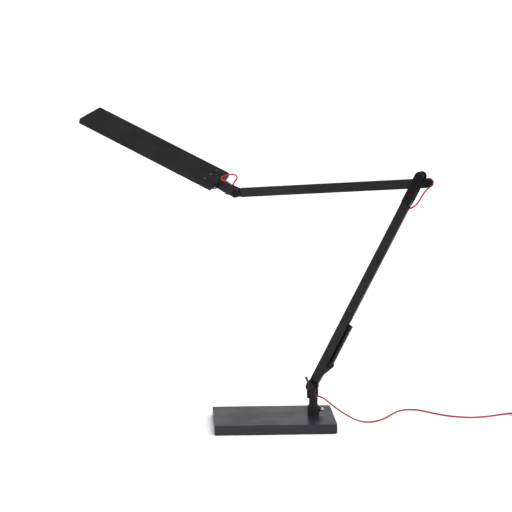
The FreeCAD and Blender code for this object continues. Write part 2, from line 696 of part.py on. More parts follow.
def arm_foot():
    slim = TONGUE_THICK / 2
    tongue = rod_y(TONGUE_R, 0, 0, -slim, slim)
    neck = block(-ARM_HALF, ARM_HALF, -slim, slim, 0, FOOT_TOP)
    body = soft_block(-ARM_HALF, ARM_HALF, -ARM_BACK, ARM_BACK, FORK_CHEEK_R + FOOT_BODY_GAP, FOOT_TOP,
                      ARM_EDGE, Z_AXIS)
    plug = block(-PLUG_HALF, PLUG_HALF, -PLUG_BACK, PLUG_BACK, FOOT_TOP - SLIP, FOOT_TOP + PLUG_LENGTH)
    root = ARM_HALF - ARM_EDGE - OVERCUT
    side = ARM_HALF + SLIP
    outline = [(root, EAR_ROOT_Z), (ARM_HALF, EAR_ROOT_Z), (ARM_HALF + EAR_KNEE_X, EAR_KNEE_Z),
               (EAR_X + EAR_R * math.cos(math.radians(-25)), EAR_Z + EAR_R * math.sin(math.radians(-25))),
               (EAR_X, EAR_Z + EAR_R), (side, EAR_Z + EAR_R), (side, FOOT_TOP), (root, FOOT_TOP),
               (root, EAR_ROOT_Z)]
    half_ear = EAR_DEPTH / 2
    profile = Part.makePolygon([Vector(x, -half_ear, z) for x, z in outline])
    fin = Part.Face(profile).extrude(Y_AXIS * EAR_DEPTH)
    thick = Part.Face(profile).extrude(Y_AXIS * ARM_DEPTH)
    thick.translate(Y_AXIS * (half_ear - ARM_BACK))
    web_top = EAR_Z - EAR_R - TURN_GAP
    web = thick.common(block(side, 2 * EAR_X, -ARM_BACK, ARM_BACK, EAR_ROOT_Z, web_top))
    ear = rod_y(EAR_R, EAR_X, EAR_Z, -half_ear, half_ear)
    foot = fuse(tongue, neck, body, plug, fin, web, ear)
    below = Vector(CABLE_OFFSET, 0, -TONGUE_R - OVERCUT)
    channel = rod(CHANNEL_R, below, Z_AXIS, TONGUE_R + FOOT_TOP + 2 * OVERCUT)
    groove = block(CABLE_OFFSET - CHANNEL_R, ARM_HALF - SLIP, -CHANNEL_R, CHANNEL_R, FOOT_TOP,
                   FOOT_TOP + PLUG_LENGTH + OVERCUT)
    bolt = rod_y(BOLT_R + RUN, 0, 0, -ARM_DEPTH, ARM_DEPTH)
    pin = rod_y(STRIP_PIN_R + RUN, EAR_X, EAR_Z, -ARM_DEPTH, ARM_DEPTH)
    return cut(foot, channel, groove, bolt, pin, fix_hole(FIX_SCREW_SIDE, FOOT_TOP + FIX_SCREW_INSET))


def foot_screw():
    return fix_screw(FIX_SCREW_SIDE, FOOT_TOP + FIX_SCREW_INSET)


def lower_arm_tube():
    end = LOWER_LENGTH - YOKE_FOOT
    tube = arm_tube(FOOT_TOP, end)
    middle = cable_exit().z - GROMMET_FLANGE
    outlet = rod(GROMMET_R + RUN, Vector(CABLE_OFFSET, 0, middle), X_AXIS, ARM_HALF)
    return cut(tube, outlet, fix_hole(FIX_SCREW_SIDE, FOOT_TOP + FIX_SCREW_INSET),
               fix_hole(FIX_SCREW_SIDE, end - FIX_SCREW_INSET))


def elbow_yoke():
    low = -YOKE_FOOT
    base = soft_block(-ARM_HALF, ARM_HALF, -YOKE_OUTER, YOKE_OUTER, low, YOKE_TIP, YOKE_EDGE, Z_AXIS)
    ends = rod_y(ARM_HALF, 0, YOKE_TIP, -YOKE_OUTER, YOKE_OUTER)
    keep = block(-ARM_HALF, ARM_HALF, -YOKE_OUTER, YOKE_OUTER, low, YOKE_TIP + ARM_HALF)
    plug = block(-PLUG_HALF, YOKE_PLUG_SIDE, -PLUG_BACK, PLUG_BACK, low - PLUG_LENGTH, low + SLIP)
    body = fuse(base, ends.common(keep), plug)
    slot = block(-ARM_WIDTH, ARM_WIDTH, -YOKE_INNER, YOKE_INNER, -YOKE_SLOT, YOKE_TIP + ARM_WIDTH)
    bolt = rod_y(BOLT_R + RUN, 0, 0, -YOKE_OUTER - OVERCUT, YOKE_OUTER + OVERCUT)
    return cut(body, slot, bolt, fix_hole(FIX_SCREW_SIDE, low - FIX_SCREW_INSET))


def yoke_screw():
    return fix_screw(FIX_SCREW_SIDE, -YOKE_FOOT - FIX_SCREW_INSET)


def elbow_bolt():
    return headed_bolt(YOKE_OUTER)


def elbow_nut():
    return cap_nut(YOKE_OUTER)


def elbow_washers():
    return pair_of_washers(YOKE_INNER)


def exit_direction():
    """The cable's slanting way out through the lower arm's right side."""
    lean = math.radians(EXIT_LEAN)
    return Vector(math.sin(lean), 0, math.cos(lean))


def cable_exit():
    """Where the cable leaves the grommet's face."""
    return Vector(ARM_HALF + GROMMET_FLANGE, 0, LOWER_LENGTH - GROMMET_DROP)


def lower_cable_edges():
    """The cable's way up the lower arm and round a bend out through its right side."""
    foot = -math.sqrt(TONGUE_R ** 2 - CABLE_OFFSET ** 2) + OVERCUT
    end = cable_exit()
    corner = end - exit_direction() * ((end.x - CABLE_OFFSET) / exit_direction().x)
    return rounded_edges([Vector(CABLE_OFFSET, 0, foot), corner, end])[0]


def lower_cable():
    return sweep(lower_cable_edges(), CABLE_R)


def lower_grommet():
    middle = cable_exit().z - GROMMET_FLANGE
    sleeve = rod(GROMMET_R, Vector(ARM_HALF - ARM_WALL, 0, middle), X_AXIS, ARM_WALL + GROMMET_FLANGE)
    flange = rod(GROMMET_FLANGE_R, Vector(ARM_HALF, 0, middle), X_AXIS, GROMMET_FLANGE)
    way = rod(CABLE_R + RUN, cable_exit() - exit_direction() * ARM_WIDTH, exit_direction(), 2 * ARM_WIDTH)
    return cut(fuse(sleeve, flange), sweep(lower_cable_edges(), CABLE_R + RUN), way)


def elbow_cable():
    start = cable_exit() + exit_direction() * EXIT_GAP - Z_AXIS * LOWER_LENGTH
    after = start + exit_direction() * LOOP_START_RUN
    first = upper_cable_edges()[0]
    inlet = first.valueAt(first.FirstParameter)
    before = inlet - first.tangentAt(first.FirstParameter) * LOOP_END_RUN
    back = ELBOW.inverse().multiply(UPPER)
    route = [start, after] + ELBOW_LOOP + [back.multVec(before), back.multVec(inlet)]
    return cable("elbow_cable", route)


def strip_pin():
    reach = STRIP_DEPTH / 2
    shank = rod_y(STRIP_PIN_R, EAR_X, EAR_Z, -reach - SLIP, reach + SLIP)
    wide = STRIP_PIN_R * 1.5
    at = reach + SLIP
    front = domed(wide, STRIP_PIN_HEAD, STRIP_PIN_HEAD / 3, Vector(EAR_X, -at, EAR_Z), Y_AXIS * -1)
    rear = domed(wide, STRIP_PIN_HEAD, STRIP_PIN_HEAD / 3, Vector(EAR_X, at, EAR_Z), Y_AXIS)
    return fuse(front, rear, shank)


def arm_strip():
    near = ARM_HALF + STRIP_GAP
    far = near + STRIP_WIDTH
    flange = far - STRIP_FLANGE
    half = STRIP_DEPTH / 2
    foot = EAR_Z + STRIP_START
    pieces = [block(flange, far, -half, half, foot, STRIP_TOP),
              block(near, far, half - STRIP_WEB, half, foot, STRIP_TOP)]
    for y0 in (-half, half - STRIP_LUG):
        pieces.append(rod_y(STRIP_LUG_R, EAR_X, EAR_Z, y0, y0 + STRIP_LUG))
        pieces.append(block(flange, far, y0, y0 + STRIP_LUG, EAR_Z, foot + OVERCUT))
    hole = rod_y(STRIP_PIN_R + RUN, EAR_X, EAR_Z, -ARM_DEPTH, ARM_DEPTH)
    return fuse(*pieces).cut(hole)


def seat_direction():
    """The cable's way up along its seat on the round end."""
    slope = math.radians(CAP_SLOPE)
    return Vector(math.cos(slope), 0, math.sin(slope))


def upper_cable_edges():
    """The cable's way along its seat on the round end, round into the end and along the upper arm."""
    along = seat_direction()
    outward = Vector(along.z, 0, -along.x)
    middle = Vector(UPPER_TIP, 0, 0) + outward * (CAP_SEAT_OUT + CABLE_R + RUN)
    turn = middle + along * ((CAP_TURN_X - middle.x) / along.x)
    reach = UPPER_LENGTH + math.sqrt(TILT_TONGUE_R ** 2 - CABLE_OFFSET ** 2) - OVERCUT
    points = [turn - along * CAP_RUN, turn, Vector(CAP_TURN_IN_X, 0, CAP_TURN_IN_Z),
              Vector(CAP_LEVEL_X, 0, -CABLE_OFFSET), Vector(-reach, 0, -CABLE_OFFSET)]
    return rounded_edges(points)[0]


def upper_cable():
    return sweep(upper_cable_edges(), CABLE_R)


def upper_arm_tube():
    near = -UPPER_LENGTH + UPPER_TUBE_GAP
    tube = laid(arm_tube(near, UPPER_CAP_START))
    bolt = rod_y(BOLT_R + RUN, 0, 0, -ARM_DEPTH, ARM_DEPTH)
    return cut(tube, bolt, fix_hole(near + FIX_SCREW_INSET, -FIX_SCREW_SIDE))


def elbow_bush():
    half = ARM_BACK - ARM_WALL - SLIP
    return ring(BOLT_R + RUN + BUSH_WALL, BOLT_R + RUN, Vector(0, -half, 0), Y_AXIS, 2 * half)


def upper_end_cap():
    body = stadium(UPPER_CAP_START, UPPER_TIP, ARM_HALF, -ARM_BACK, ARM_BACK)
    rims = edges_at(body, Y_AXIS, -ARM_BACK) + edges_at(body, Y_AXIS, ARM_BACK)
    rims = [edge for edge in rims if edge.BoundBox.XMax > UPPER_CAP_START + SLIP]
    body = body.makeFillet(ARM_EDGE, rims)
    plug = block(UPPER_CAP_START - UPPER_CAP_PLUG, UPPER_CAP_START + SLIP, -PLUG_BACK, PLUG_BACK,
                 -UPPER_CAP_PLUG_LOW, PLUG_HALF)
    seat = block(-ARM_WIDTH, ARM_WIDTH, -ARM_DEPTH, ARM_DEPTH, -ARM_WIDTH, -CAP_SEAT_OUT)
    seat.Placement = Placement(Vector(UPPER_TIP, 0, 0), Rotation(Y_AXIS, -CAP_SLOPE))
    return cut(fuse(body, plug), seat, sweep(upper_cable_edges(), CHANNEL_R))


def tilt_tongue():
    slim = TONGUE_THICK / 2
    hinge = -UPPER_LENGTH
    tube_end = hinge + UPPER_TUBE_GAP
    tongue = fuse(rod_y(TILT_TONGUE_R, hinge, 0, -slim, slim),
                  block(hinge, tube_end + OVERCUT, -slim, slim, -PLUG_HALF, PLUG_HALF))
    plug = block(tube_end, tube_end + PLUG_LENGTH, -PLUG_BACK, PLUG_BACK, -PLUG_HALF, PLUG_HALF)
    bolt = rod_y(BOLT_R + RUN, hinge, 0, -ARM_DEPTH, ARM_DEPTH)
    start = hinge - TILT_TONGUE_R
    end = tube_end + PLUG_LENGTH + OVERCUT
    groove = block(start, end, -CHANNEL_R, CHANNEL_R, -ARM_HALF, CHANNEL_R - CABLE_OFFSET)
    return cut(fuse(tongue, plug), bolt, groove, fix_hole(tube_end + FIX_SCREW_INSET, -FIX_SCREW_SIDE))


def tongue_screw():
    return fix_screw(-UPPER_LENGTH + UPPER_TUBE_GAP + FIX_SCREW_INSET, -FIX_SCREW_SIDE)


def tilt_yoke():
    body = soft_block(-LINK_END, 0, -LINK_OUTER, LINK_OUTER, -ARM_HALF, ARM_HALF, LINK_EDGE, X_AXIS)
    body = fuse(body, rod_y(LINK_CHEEK_R, 0, 0, -LINK_OUTER, LINK_OUTER))
    slot = block(-LINK_SLOT, LINK_CHEEK_R + OVERCUT, -LINK_INNER, LINK_INNER, -2 * ARM_HALF, 2 * ARM_HALF)
    bolt = rod_y(BOLT_R + RUN, 0, 0, -LINK_OUTER - OVERCUT, LINK_OUTER + OVERCUT)
    mouth = Vector(-LINK_END - OVERCUT, 0, 0)
    roll = rod(ROLL_R + RUN, mouth, X_AXIS, ROLL_LENGTH + ROLL_FLOOR_GAP + OVERCUT)
    inlet = rod(CHANNEL_R, Vector(LINK_HOLE_X, LINK_HOLE_Y, ARM_HALF - LINK_HOLE_DEPTH), Z_AXIS, ARM_HALF)
    screw = rod(FRICTION_SCREW_R + RUN, Vector(FRICTION_SCREW_X, 0, -2 * ARM_HALF), Z_AXIS, 2 * ARM_HALF)
    return cut(body, slot, bolt, roll, inlet, screw)


def tilt_bolt():
    return headed_bolt(LINK_OUTER)


def tilt_nut():
    return cap_nut(LINK_OUTER)


def tilt_washers():
    return pair_of_washers(LINK_INNER)


def friction_screw():
    top = -ROLL_R - TURN_GAP
    under = Vector(FRICTION_SCREW_X, 0, -ARM_HALF)
    head = domed(FRICTION_HEAD_R, FRICTION_HEAD, FRICTION_HEAD / 4, under, Z_AXIS * -1)
    return fuse(head, rod(FRICTION_SCREW_R, under - Z_AXIS * SLIP, Z_AXIS, top + ARM_HALF + SLIP))


def head_cable():
    return cable("head_cable", HEAD_LOOP)


def roll_collar():
    collar = rod(COLLAR_R, Vector(COLLAR_FAR, 0, 0), X_AXIS, COLLAR_LENGTH)
    side = Vector(COLLAR_FAR + COLLAR_LENGTH / 2 - COLLAR_GROOVE_WIDTH / 2, 0, 0)
    groove = ring(COLLAR_R + OVERCUT, COLLAR_R - COLLAR_GROOVE, side, X_AXIS, COLLAR_GROOVE_WIDTH)
    shaft = rod(ROLL_R, Vector(COLLAR_NEAR - SLIP, 0, 0), X_AXIS, ROLL_LENGTH + TURN_GAP + SLIP)
    bore = rod(CABLE_BORE_R, Vector(COLLAR_FAR - OVERCUT, 0, 0), X_AXIS, HEAD_GAP)
    return cut(fuse(collar, shaft), groove, bore)


def bracket_screw_places():
    first = SHELL_NEAR - BRACKET_SCREW_FIRST
    return [first, first - BRACKET_SCREW_PITCH]


def head_bracket():
    boss = rod(BRACKET_BOSS_R, Vector(COLLAR_FAR - BRACKET_BOSS, 0, 0), X_AXIS, BRACKET_BOSS)
    plate = block(SHELL_NEAR - BRACKET_REACH, COLLAR_FAR - BRACKET_BOSS / 2, -BRACKET_HALF, BRACKET_HALF,
                  BRACKET_FOOT, BRACKET_TOP)
    flange_top = HEAD_TOP - FLANGE_TOP_INSET
    flange_foot = HEAD_BOTTOM - FLANGE_DROP
    outline = [(-FLANGE_HALF, HEAD_BOTTOM), (-FLANGE_LOW_HALF, flange_foot), (FLANGE_LOW_HALF, flange_foot),
               (FLANGE_HALF, HEAD_BOTTOM), (FLANGE_HALF, flange_top), (-FLANGE_HALF, flange_top),
               (-FLANGE_HALF, HEAD_BOTTOM)]
    profile = Part.makePolygon([Vector(HEAD_NEAR, y, z) for y, z in outline])
    flange = Part.Face(profile).extrude(X_AXIS * FLANGE_THICK)
    plate = fuse(boss, plate, flange)
    for x in bracket_screw_places():
        plate = plate.cut(rod(BRACKET_SCREW_R + RUN, Vector(x, 0, BRACKET_FOOT - OVERCUT), Z_AXIS,
                              BRACKET_THICK - BRACKET_SCREW_TIP + OVERCUT))
    return plate


def bracket_screws():
    screws = []
    for x in bracket_screw_places():
        head = rod(BRACKET_SCREW_HEAD_R, Vector(x, 0, HEAD_BOTTOM), Z_AXIS, BRACKET_SCREW_HEAD)
        length = BRACKET_TOP - BRACKET_SCREW_TIP - SLIP - HEAD_BOTTOM
        screws.append(fuse(head, rod(BRACKET_SCREW_R, Vector(x, 0, HEAD_BOTTOM), Z_AXIS, length)))
    return Part.makeCompound(screws)


def head_shell():
    half = HEAD_WIDTH / 2
    shell = soft_block(SHELL_FAR, SHELL_NEAR, -half, half, HEAD_BOTTOM, HEAD_TOP, HEAD_EDGE, X_AXIS)
    inside = half - SHELL_SIDE
    far = SHELL_FAR - OVERCUT
    near = SHELL_NEAR + OVERCUT
    shell = shell.cut(block(far, near, -inside, inside, HEAD_BOTTOM - OVERCUT, UNDER_TOP))
    for place in BUTTON_PLACES:
        at = Vector(BUTTON_X, place * BUTTON_PITCH, UNDER_TOP - OVERCUT)
        shell = shell.cut(rod(BUTTON_R + BUTTON_PLAY, at, Z_AXIS, SHELL_TOP + 2 * OVERCUT))
    return shell


def head_cap(x0, x1, corner_x):
    """End plate of the head, with rounded upright corners on its outer side."""
    half = HEAD_WIDTH / 2
    plate = soft_block(x0, x1, -half, half, HEAD_BOTTOM, HEAD_TOP, HEAD_EDGE, X_AXIS)
    corners = [edge for edge in edges_along(plate, Z_AXIS) if abs(edge.BoundBox.XMin - corner_x) < SLIP]
    return plate.makeFillet(HEAD_CORNER, corners)


def head_near_cap():
    plate = head_cap(SHELL_NEAR, HEAD_NEAR, HEAD_NEAR)
    side = BRACKET_HALF + RUN
    far = SHELL_NEAR - OVERCUT
    near = HEAD_NEAR + OVERCUT
    return plate.cut(block(far, near, -side, side, BRACKET_FOOT - RUN, BRACKET_TOP + RUN))


def head_far_cap():
    return head_cap(HEAD_FAR, SHELL_FAR, HEAD_FAR)


def head_cover():
    plate = block(COVER_END, SHELL_NEAR, -INSIDE_HALF, INSIDE_HALF, HEAD_BOTTOM, BRACKET_FOOT)
    for x in bracket_screw_places():
        low = Vector(x, 0, HEAD_BOTTOM - OVERCUT)
        plate = plate.cut(rod(BRACKET_SCREW_HEAD_R + RUN, low, Z_AXIS, BRACKET_SCREW_HEAD + OVERCUT))
        plate = plate.cut(rod(BRACKET_SCREW_R + RUN, low, Z_AXIS, COVER_THICK + 2 * OVERCUT))
    return plate


def head_diffuser():
    foot = HEAD_BOTTOM + DIFFUSER_INSET
    return block(SHELL_FAR, COVER_END - SLIP, -INSIDE_HALF, INSIDE_HALF, foot, foot + DIFFUSER_THICK)


def led_board():
    far = SHELL_FAR + LIGHT_BOARD_INSET
    near = COVER_END - LIGHT_BOARD_INSET
    foot = UNDER_TOP - LIGHT_BOARD_THICK
    pieces = [block(far, near, -LIGHT_BOARD_HALF, LIGHT_BOARD_HALF, foot, UNDER_TOP)]
    pitch = (near - far) / LIGHT_COLUMNS
    size = LIGHT_SIZE / 2
    for row in range(LIGHT_ROWS):
        y = (row - (LIGHT_ROWS - 1) / 2) * LIGHT_ROW_PITCH
        for column in range(LIGHT_COLUMNS):
            x = far + (column + 0.5) * pitch
            pieces.append(block(x - size, x + size, y - size, y + size, foot - LIGHT_THICK, foot + SLIP))
    return fuse(*pieces)


def button_foot():
    return UNDER_TOP - BUTTON_GAP - BUTTON_FLANGE


def control_board():
    foot = BRACKET_TOP + SLIP
    top = foot + CONTROL_BOARD_THICK
    half = CONTROL_BOARD_LENGTH / 2
    pieces = [block(BUTTON_X - half, BUTTON_X + half, -CONTROL_BOARD_HALF, CONTROL_BOARD_HALF, foot, top)]
    size = SWITCH_SIZE / 2
    for place in BUTTON_PLACES:
        y = place * BUTTON_PITCH
        pieces.append(block(BUTTON_X - size, BUTTON_X + size, y - size, y + size, top - SLIP,
                            button_foot() - BUTTON_TRAVEL - BUTTON_GAP))
    return fuse(*pieces)


def button(place):
    """Push button: a flange kept under the head's top and a cap that stands a little proud of it."""
    at = Vector(BUTTON_X, place * BUTTON_PITCH, button_foot())
    flange = rod(BUTTON_FLANGE_R, at, Z_AXIS, BUTTON_FLANGE)
    stem = rod(BUTTON_R, at, Z_AXIS, HEAD_TOP + BUTTON_PROUD - at.z)
    stem = stem.makeFillet(BUTTON_PROUD / 2, edges_at(stem, Z_AXIS, HEAD_TOP + BUTTON_PROUD))
    return fuse(flange, stem)


def button_front():
    return button(-1)


def button_middle():
    return button(0)


def button_rear():
    return button(1)


def supply_cord():
    return cable("supply_cord", CORD_ROUTE)


def coil_edges():
    """Put-away cord: flat spirals of half turns, in and out again, one layer above the other."""
    start = CORD_ROUTE[-1]
    lead = 2 * CABLE_R
    here = start + X_AXIS * lead
    edges = [Part.LineSegment(start, here).toShape()]
    radius = COIL_OUTER_R
    side = -1
    for layer in range(COIL_LAYERS):
        inward = layer % 2 == 0
        last_layer = layer == COIL_LAYERS - 1
        turns = COIL_HALF_TURNS + (1 if last_layer else 0)
        for _ in range(turns):
            far = Vector(here.x, here.y + side * 2 * radius, here.z)
            bulge = Vector(here.x - side * radius, here.y + side * radius, here.z)
            edges.append(Part.Arc(here, bulge, far).toShape())
            here = far
            side = -side
            radius += -COIL_STEP / 2 if inward else COIL_STEP / 2
        if not last_layer:
            far = Vector(here.x, here.y + side * 2 * radius, here.z + COIL_STEP)
            leg = math.hypot(radius, COIL_STEP / 2)
            first = here + Vector(-side * leg, 0, 0)
            second = far + Vector(-side * leg, 0, 0)
            middle = (first + second) * 0.5
            edges.append(arc_through(here, first, middle))
            edges.append(arc_through(middle, second, far))
            here = far
            side = -side
            radius += COIL_STEP / 2 if inward else -COIL_STEP / 2
    edges.append(Part.LineSegment(here, here + X_AXIS * lead).toShape())
    return edges


def coil_end():
    last = coil_edges()[-1]
    return last.valueAt(last.LastParameter)


def least_self_gap(edges, skip):
    """Least clear gap between stretches of a tube that lie further apart along it than skip."""
    points = []
    travelled = 0.0
    for edge in edges:
        count = max(2, int(edge.Length / CABLE_R))
        for point in edge.discretize(Number=count + 1)[:-1]:
            points.append((travelled, point))
            travelled += edge.Length / count
    least = math.inf
    for i, (at, point) in enumerate(points):
        for other_at, other in points[i + 1:]:
            if other_at - at > skip:
                least = min(least, point.distanceToPoint(other))
    return least - 2 * CABLE_R


def cord_coil():
    edges = coil_edges()
    length = sum(edge.Length for edge in edges)
    shape = sweep(edges, CABLE_R)
    share = shape.Volume / (math.pi * CABLE_R ** 2 * length)
    gap = least_self_gap(edges, 4 * CABLE_R)
    print(f"cord_coil: length {length:.1f}, volume share {share:.4f}, least self-gap {gap:.2f}")
    return shape


def cord_tie():
    middle_x = CORD_ROUTE[-1].x + 2 * CABLE_R
    middle_y = CORD_ROUTE[-1].y - COIL_OUTER_R
    room = CABLE_R + TIE_PLAY
    near = middle_x + COIL_OUTER_R - COIL_STEP * (COIL_HALF_TURNS + 2) / 2 - room
    far = middle_x + COIL_OUTER_R + COIL_STEP / 2 + room
    top = COIL_FLOOR + COIL_STEP * (COIL_LAYERS - 1) + room
    half = TIE_WIDTH / 2
    outer = block(near - TIE_THICK, far + TIE_THICK, middle_y - half, middle_y + half, 0, top + TIE_THICK)
    return outer.cut(block(near, far, middle_y - TIE_WIDTH, middle_y + TIE_WIDTH, TIE_THICK, top))


def adapter_relief():
    return Part.makeCone(RELIEF_TIP_R, RELIEF_ROOT_R, RELIEF_LENGTH, coil_end(), X_AXIS)


def adapter_shell(z0, z1, closed_below):
    """Half of the supply's case, a tray whose open side meets the other half."""
    face = coil_end().x + RELIEF_LENGTH
    y = coil_end().y
    end = face + ADAPTER_LENGTH
    outer = soft_block(face, end, y - ADAPTER_HALF, y + ADAPTER_HALF, z0, z1, ADAPTER_EDGE, Z_AXIS)
    low = z0 + ADAPTER_WALL if closed_below else z0 - OVERCUT
    high = z1 + OVERCUT if closed_below else z1 - ADAPTER_WALL
    inside = ADAPTER_HALF - ADAPTER_WALL
    return outer.cut(block(face + ADAPTER_WALL, end - ADAPTER_WALL, y - inside, y + inside, low, high))


def plug_pins(radius, start):
    """The two round plug pins, from a depth behind the case's end face."""
    end = coil_end() + X_AXIS * (RELIEF_LENGTH + ADAPTER_LENGTH)
    pins = []
    for side in (-1, 1):
        foot = Vector(end.x - start, end.y + side * PLUG_PIN_HALF_PITCH, PLUG_PIN_HEIGHT)
        pins.append(rod(radius, foot, X_AXIS, start + PLUG_PIN_OUT))
    return pins


def adapter_body():
    return cut(adapter_shell(0, ADAPTER_SPLIT, True), *plug_pins(PLUG_PIN_R + RUN, ADAPTER_WALL + OVERCUT))


def adapter_cover():
    return adapter_shell(ADAPTER_SPLIT, ADAPTER_HEIGHT, False)


def adapter_pins():
    return Part.makeCompound(plug_pins(PLUG_PIN_R, ADAPTER_WALL))


PIECES = (
    (BASE, (base_plate, base_pad, post_socket, socket_screw, swivel_washer, thumb_screw, supply_cord,
            cord_coil, cord_tie, adapter_relief, adapter_body, adapter_cover, adapter_pins)),
    (SWIVEL, (swivel_post, pivot_fork, pivot_bolt, pivot_nut, pivot_washers, cord_clamp, clamp_hub,
              clamp_handle)),
    (LOWER, (arm_foot, foot_screw, lower_arm_tube, lower_cable, lower_grommet, strip_pin, arm_strip)),
    (ELBOW, (elbow_yoke, yoke_screw, elbow_bolt, elbow_nut, elbow_washers, elbow_cable)),
    (UPPER, (upper_arm_tube, upper_end_cap, elbow_bush, tilt_tongue, tongue_screw, upper_cable)),
    (LINK, (tilt_yoke, tilt_bolt, tilt_nut, tilt_washers, friction_screw, head_cable)),
    (HEAD, (roll_collar, head_bracket, bracket_screws, head_shell, head_near_cap, head_far_cap, head_cover,
            head_diffuser, led_board, control_board, button_front, button_middle, button_rear)),
)


os.makedirs("parts", exist_ok=True)
for frame, makers in PIECES:
    for maker in makers:
        piece = maker()
        piece.Placement = frame.multiply(piece.Placement)
        if not piece.isValid():
            print(f"{maker.__name__} is not valid")
        piece.exportStep(f"parts/{maker.__name__}.step")
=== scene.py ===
"""Looks of a black table lamp with swing arms: finishes, cables, fasteners, studio and camera.

Everything is in metres in the lamp's own frame: the origin is the middle of the base's underside, +Z is up
and +X runs along the base. Sizes in millimetres are fields whose comment or docstring says so.
"""
from __future__ import annotations

import logging
import math
from dataclasses import dataclass
from enum import Enum
from typing import Any, Sequence

import bpy
import numpy as np
from mathutils import Matrix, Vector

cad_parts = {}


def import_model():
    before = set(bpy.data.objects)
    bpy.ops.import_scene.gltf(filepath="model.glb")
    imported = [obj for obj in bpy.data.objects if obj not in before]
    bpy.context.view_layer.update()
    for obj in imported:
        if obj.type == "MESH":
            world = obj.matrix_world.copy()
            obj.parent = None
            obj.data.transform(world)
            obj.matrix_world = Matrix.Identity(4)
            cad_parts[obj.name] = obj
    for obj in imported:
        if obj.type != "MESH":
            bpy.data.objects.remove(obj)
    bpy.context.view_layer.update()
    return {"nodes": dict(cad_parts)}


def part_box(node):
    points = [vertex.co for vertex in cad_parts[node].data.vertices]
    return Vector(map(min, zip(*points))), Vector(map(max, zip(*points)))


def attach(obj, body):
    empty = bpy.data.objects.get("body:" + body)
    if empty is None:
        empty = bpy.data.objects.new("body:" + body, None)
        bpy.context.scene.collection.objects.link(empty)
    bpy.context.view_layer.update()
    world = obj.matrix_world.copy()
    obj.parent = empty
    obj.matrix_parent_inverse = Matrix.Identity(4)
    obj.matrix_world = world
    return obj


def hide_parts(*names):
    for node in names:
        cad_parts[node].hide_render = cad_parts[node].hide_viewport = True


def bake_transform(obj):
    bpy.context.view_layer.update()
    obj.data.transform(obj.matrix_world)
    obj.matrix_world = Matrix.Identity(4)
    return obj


LOG = logging.getLogger("lamp")
MM = 0.001
TURN = 2 * math.pi
QUARTER = math.pi / 2
HEX_CORNERS = 6
CRISP = math.radians(40.0)  # edges that turn by more than this stay sharp
Points = np.ndarray
Numbers = Sequence[float]
Rows = Sequence[Numbers]
Colour = tuple[float, float, float]
Material = bpy.types.Material
Piece = bpy.types.Object
Nodes = dict[str, Piece]
Sockets = dict[str, Any]


class Side(Enum):
    """Which way a fastener looks along its frame's y axis."""

    FRONT = -1
    REAR = 1


# Shader graphs


class Val:
    """A socket of a graph, so that shader maths reads as an expression."""

    def __init__(self, graph: "Graph", socket: bpy.types.NodeSocket) -> None:
        """Keeps the graph and one of its output sockets."""
        self.graph = graph
        self.socket = socket

    def _math(self, operation: str, first: Any, second: Any = None) -> "Val":
        """One Math node's value; the second value is left out for an operation of one."""
        values = {0: first} if second is None else {0: first, 1: second}
        return Val(self.graph, self.graph.node("ShaderNodeMath", {"operation": operation}, values).outputs[0])

    def __add__(self, other: Any) -> "Val":
        """Sum."""
        return self._math("ADD", self, other)

    __radd__ = __add__

    def __sub__(self, other: Any) -> "Val":
        """Difference."""
        return self._math("SUBTRACT", self, other)

    def __rsub__(self, other: Any) -> "Val":
        """Difference from a number on the left."""
        return self._math("SUBTRACT", other, self)

    def __mul__(self, other: Any) -> "Val":
        """Product."""
        return self._math("MULTIPLY", self, other)

    __rmul__ = __mul__

    def __abs__(self) -> "Val":
        """Size without sign."""
        return self._math("ABSOLUTE", self)

    def sine(self) -> "Val":
        """Sine of a value in radians."""
        return self._math("SINE", self)

    def root(self) -> "Val":
        """Square root."""
        return self._math("SQRT", self)

    def ramp(self, low: float, high: float, start: float = 0.0, end: float = 1.0) -> "Val":
        """Smooth step of this value.

        Args:
            low: the value that gives start.
            high: the value that gives end.
            start: result at or below low.
            end: result at or above high.

        Returns:
            The stepped value.
        """
        settings = {"interpolation_type": "SMOOTHSTEP", "clamp": True}
        sockets = {"Value": self, "From Min": low, "From Max": high, "To Min": start, "To Max": end}
        return Val(self.graph, self.graph.node("ShaderNodeMapRange", settings, sockets).outputs[0])


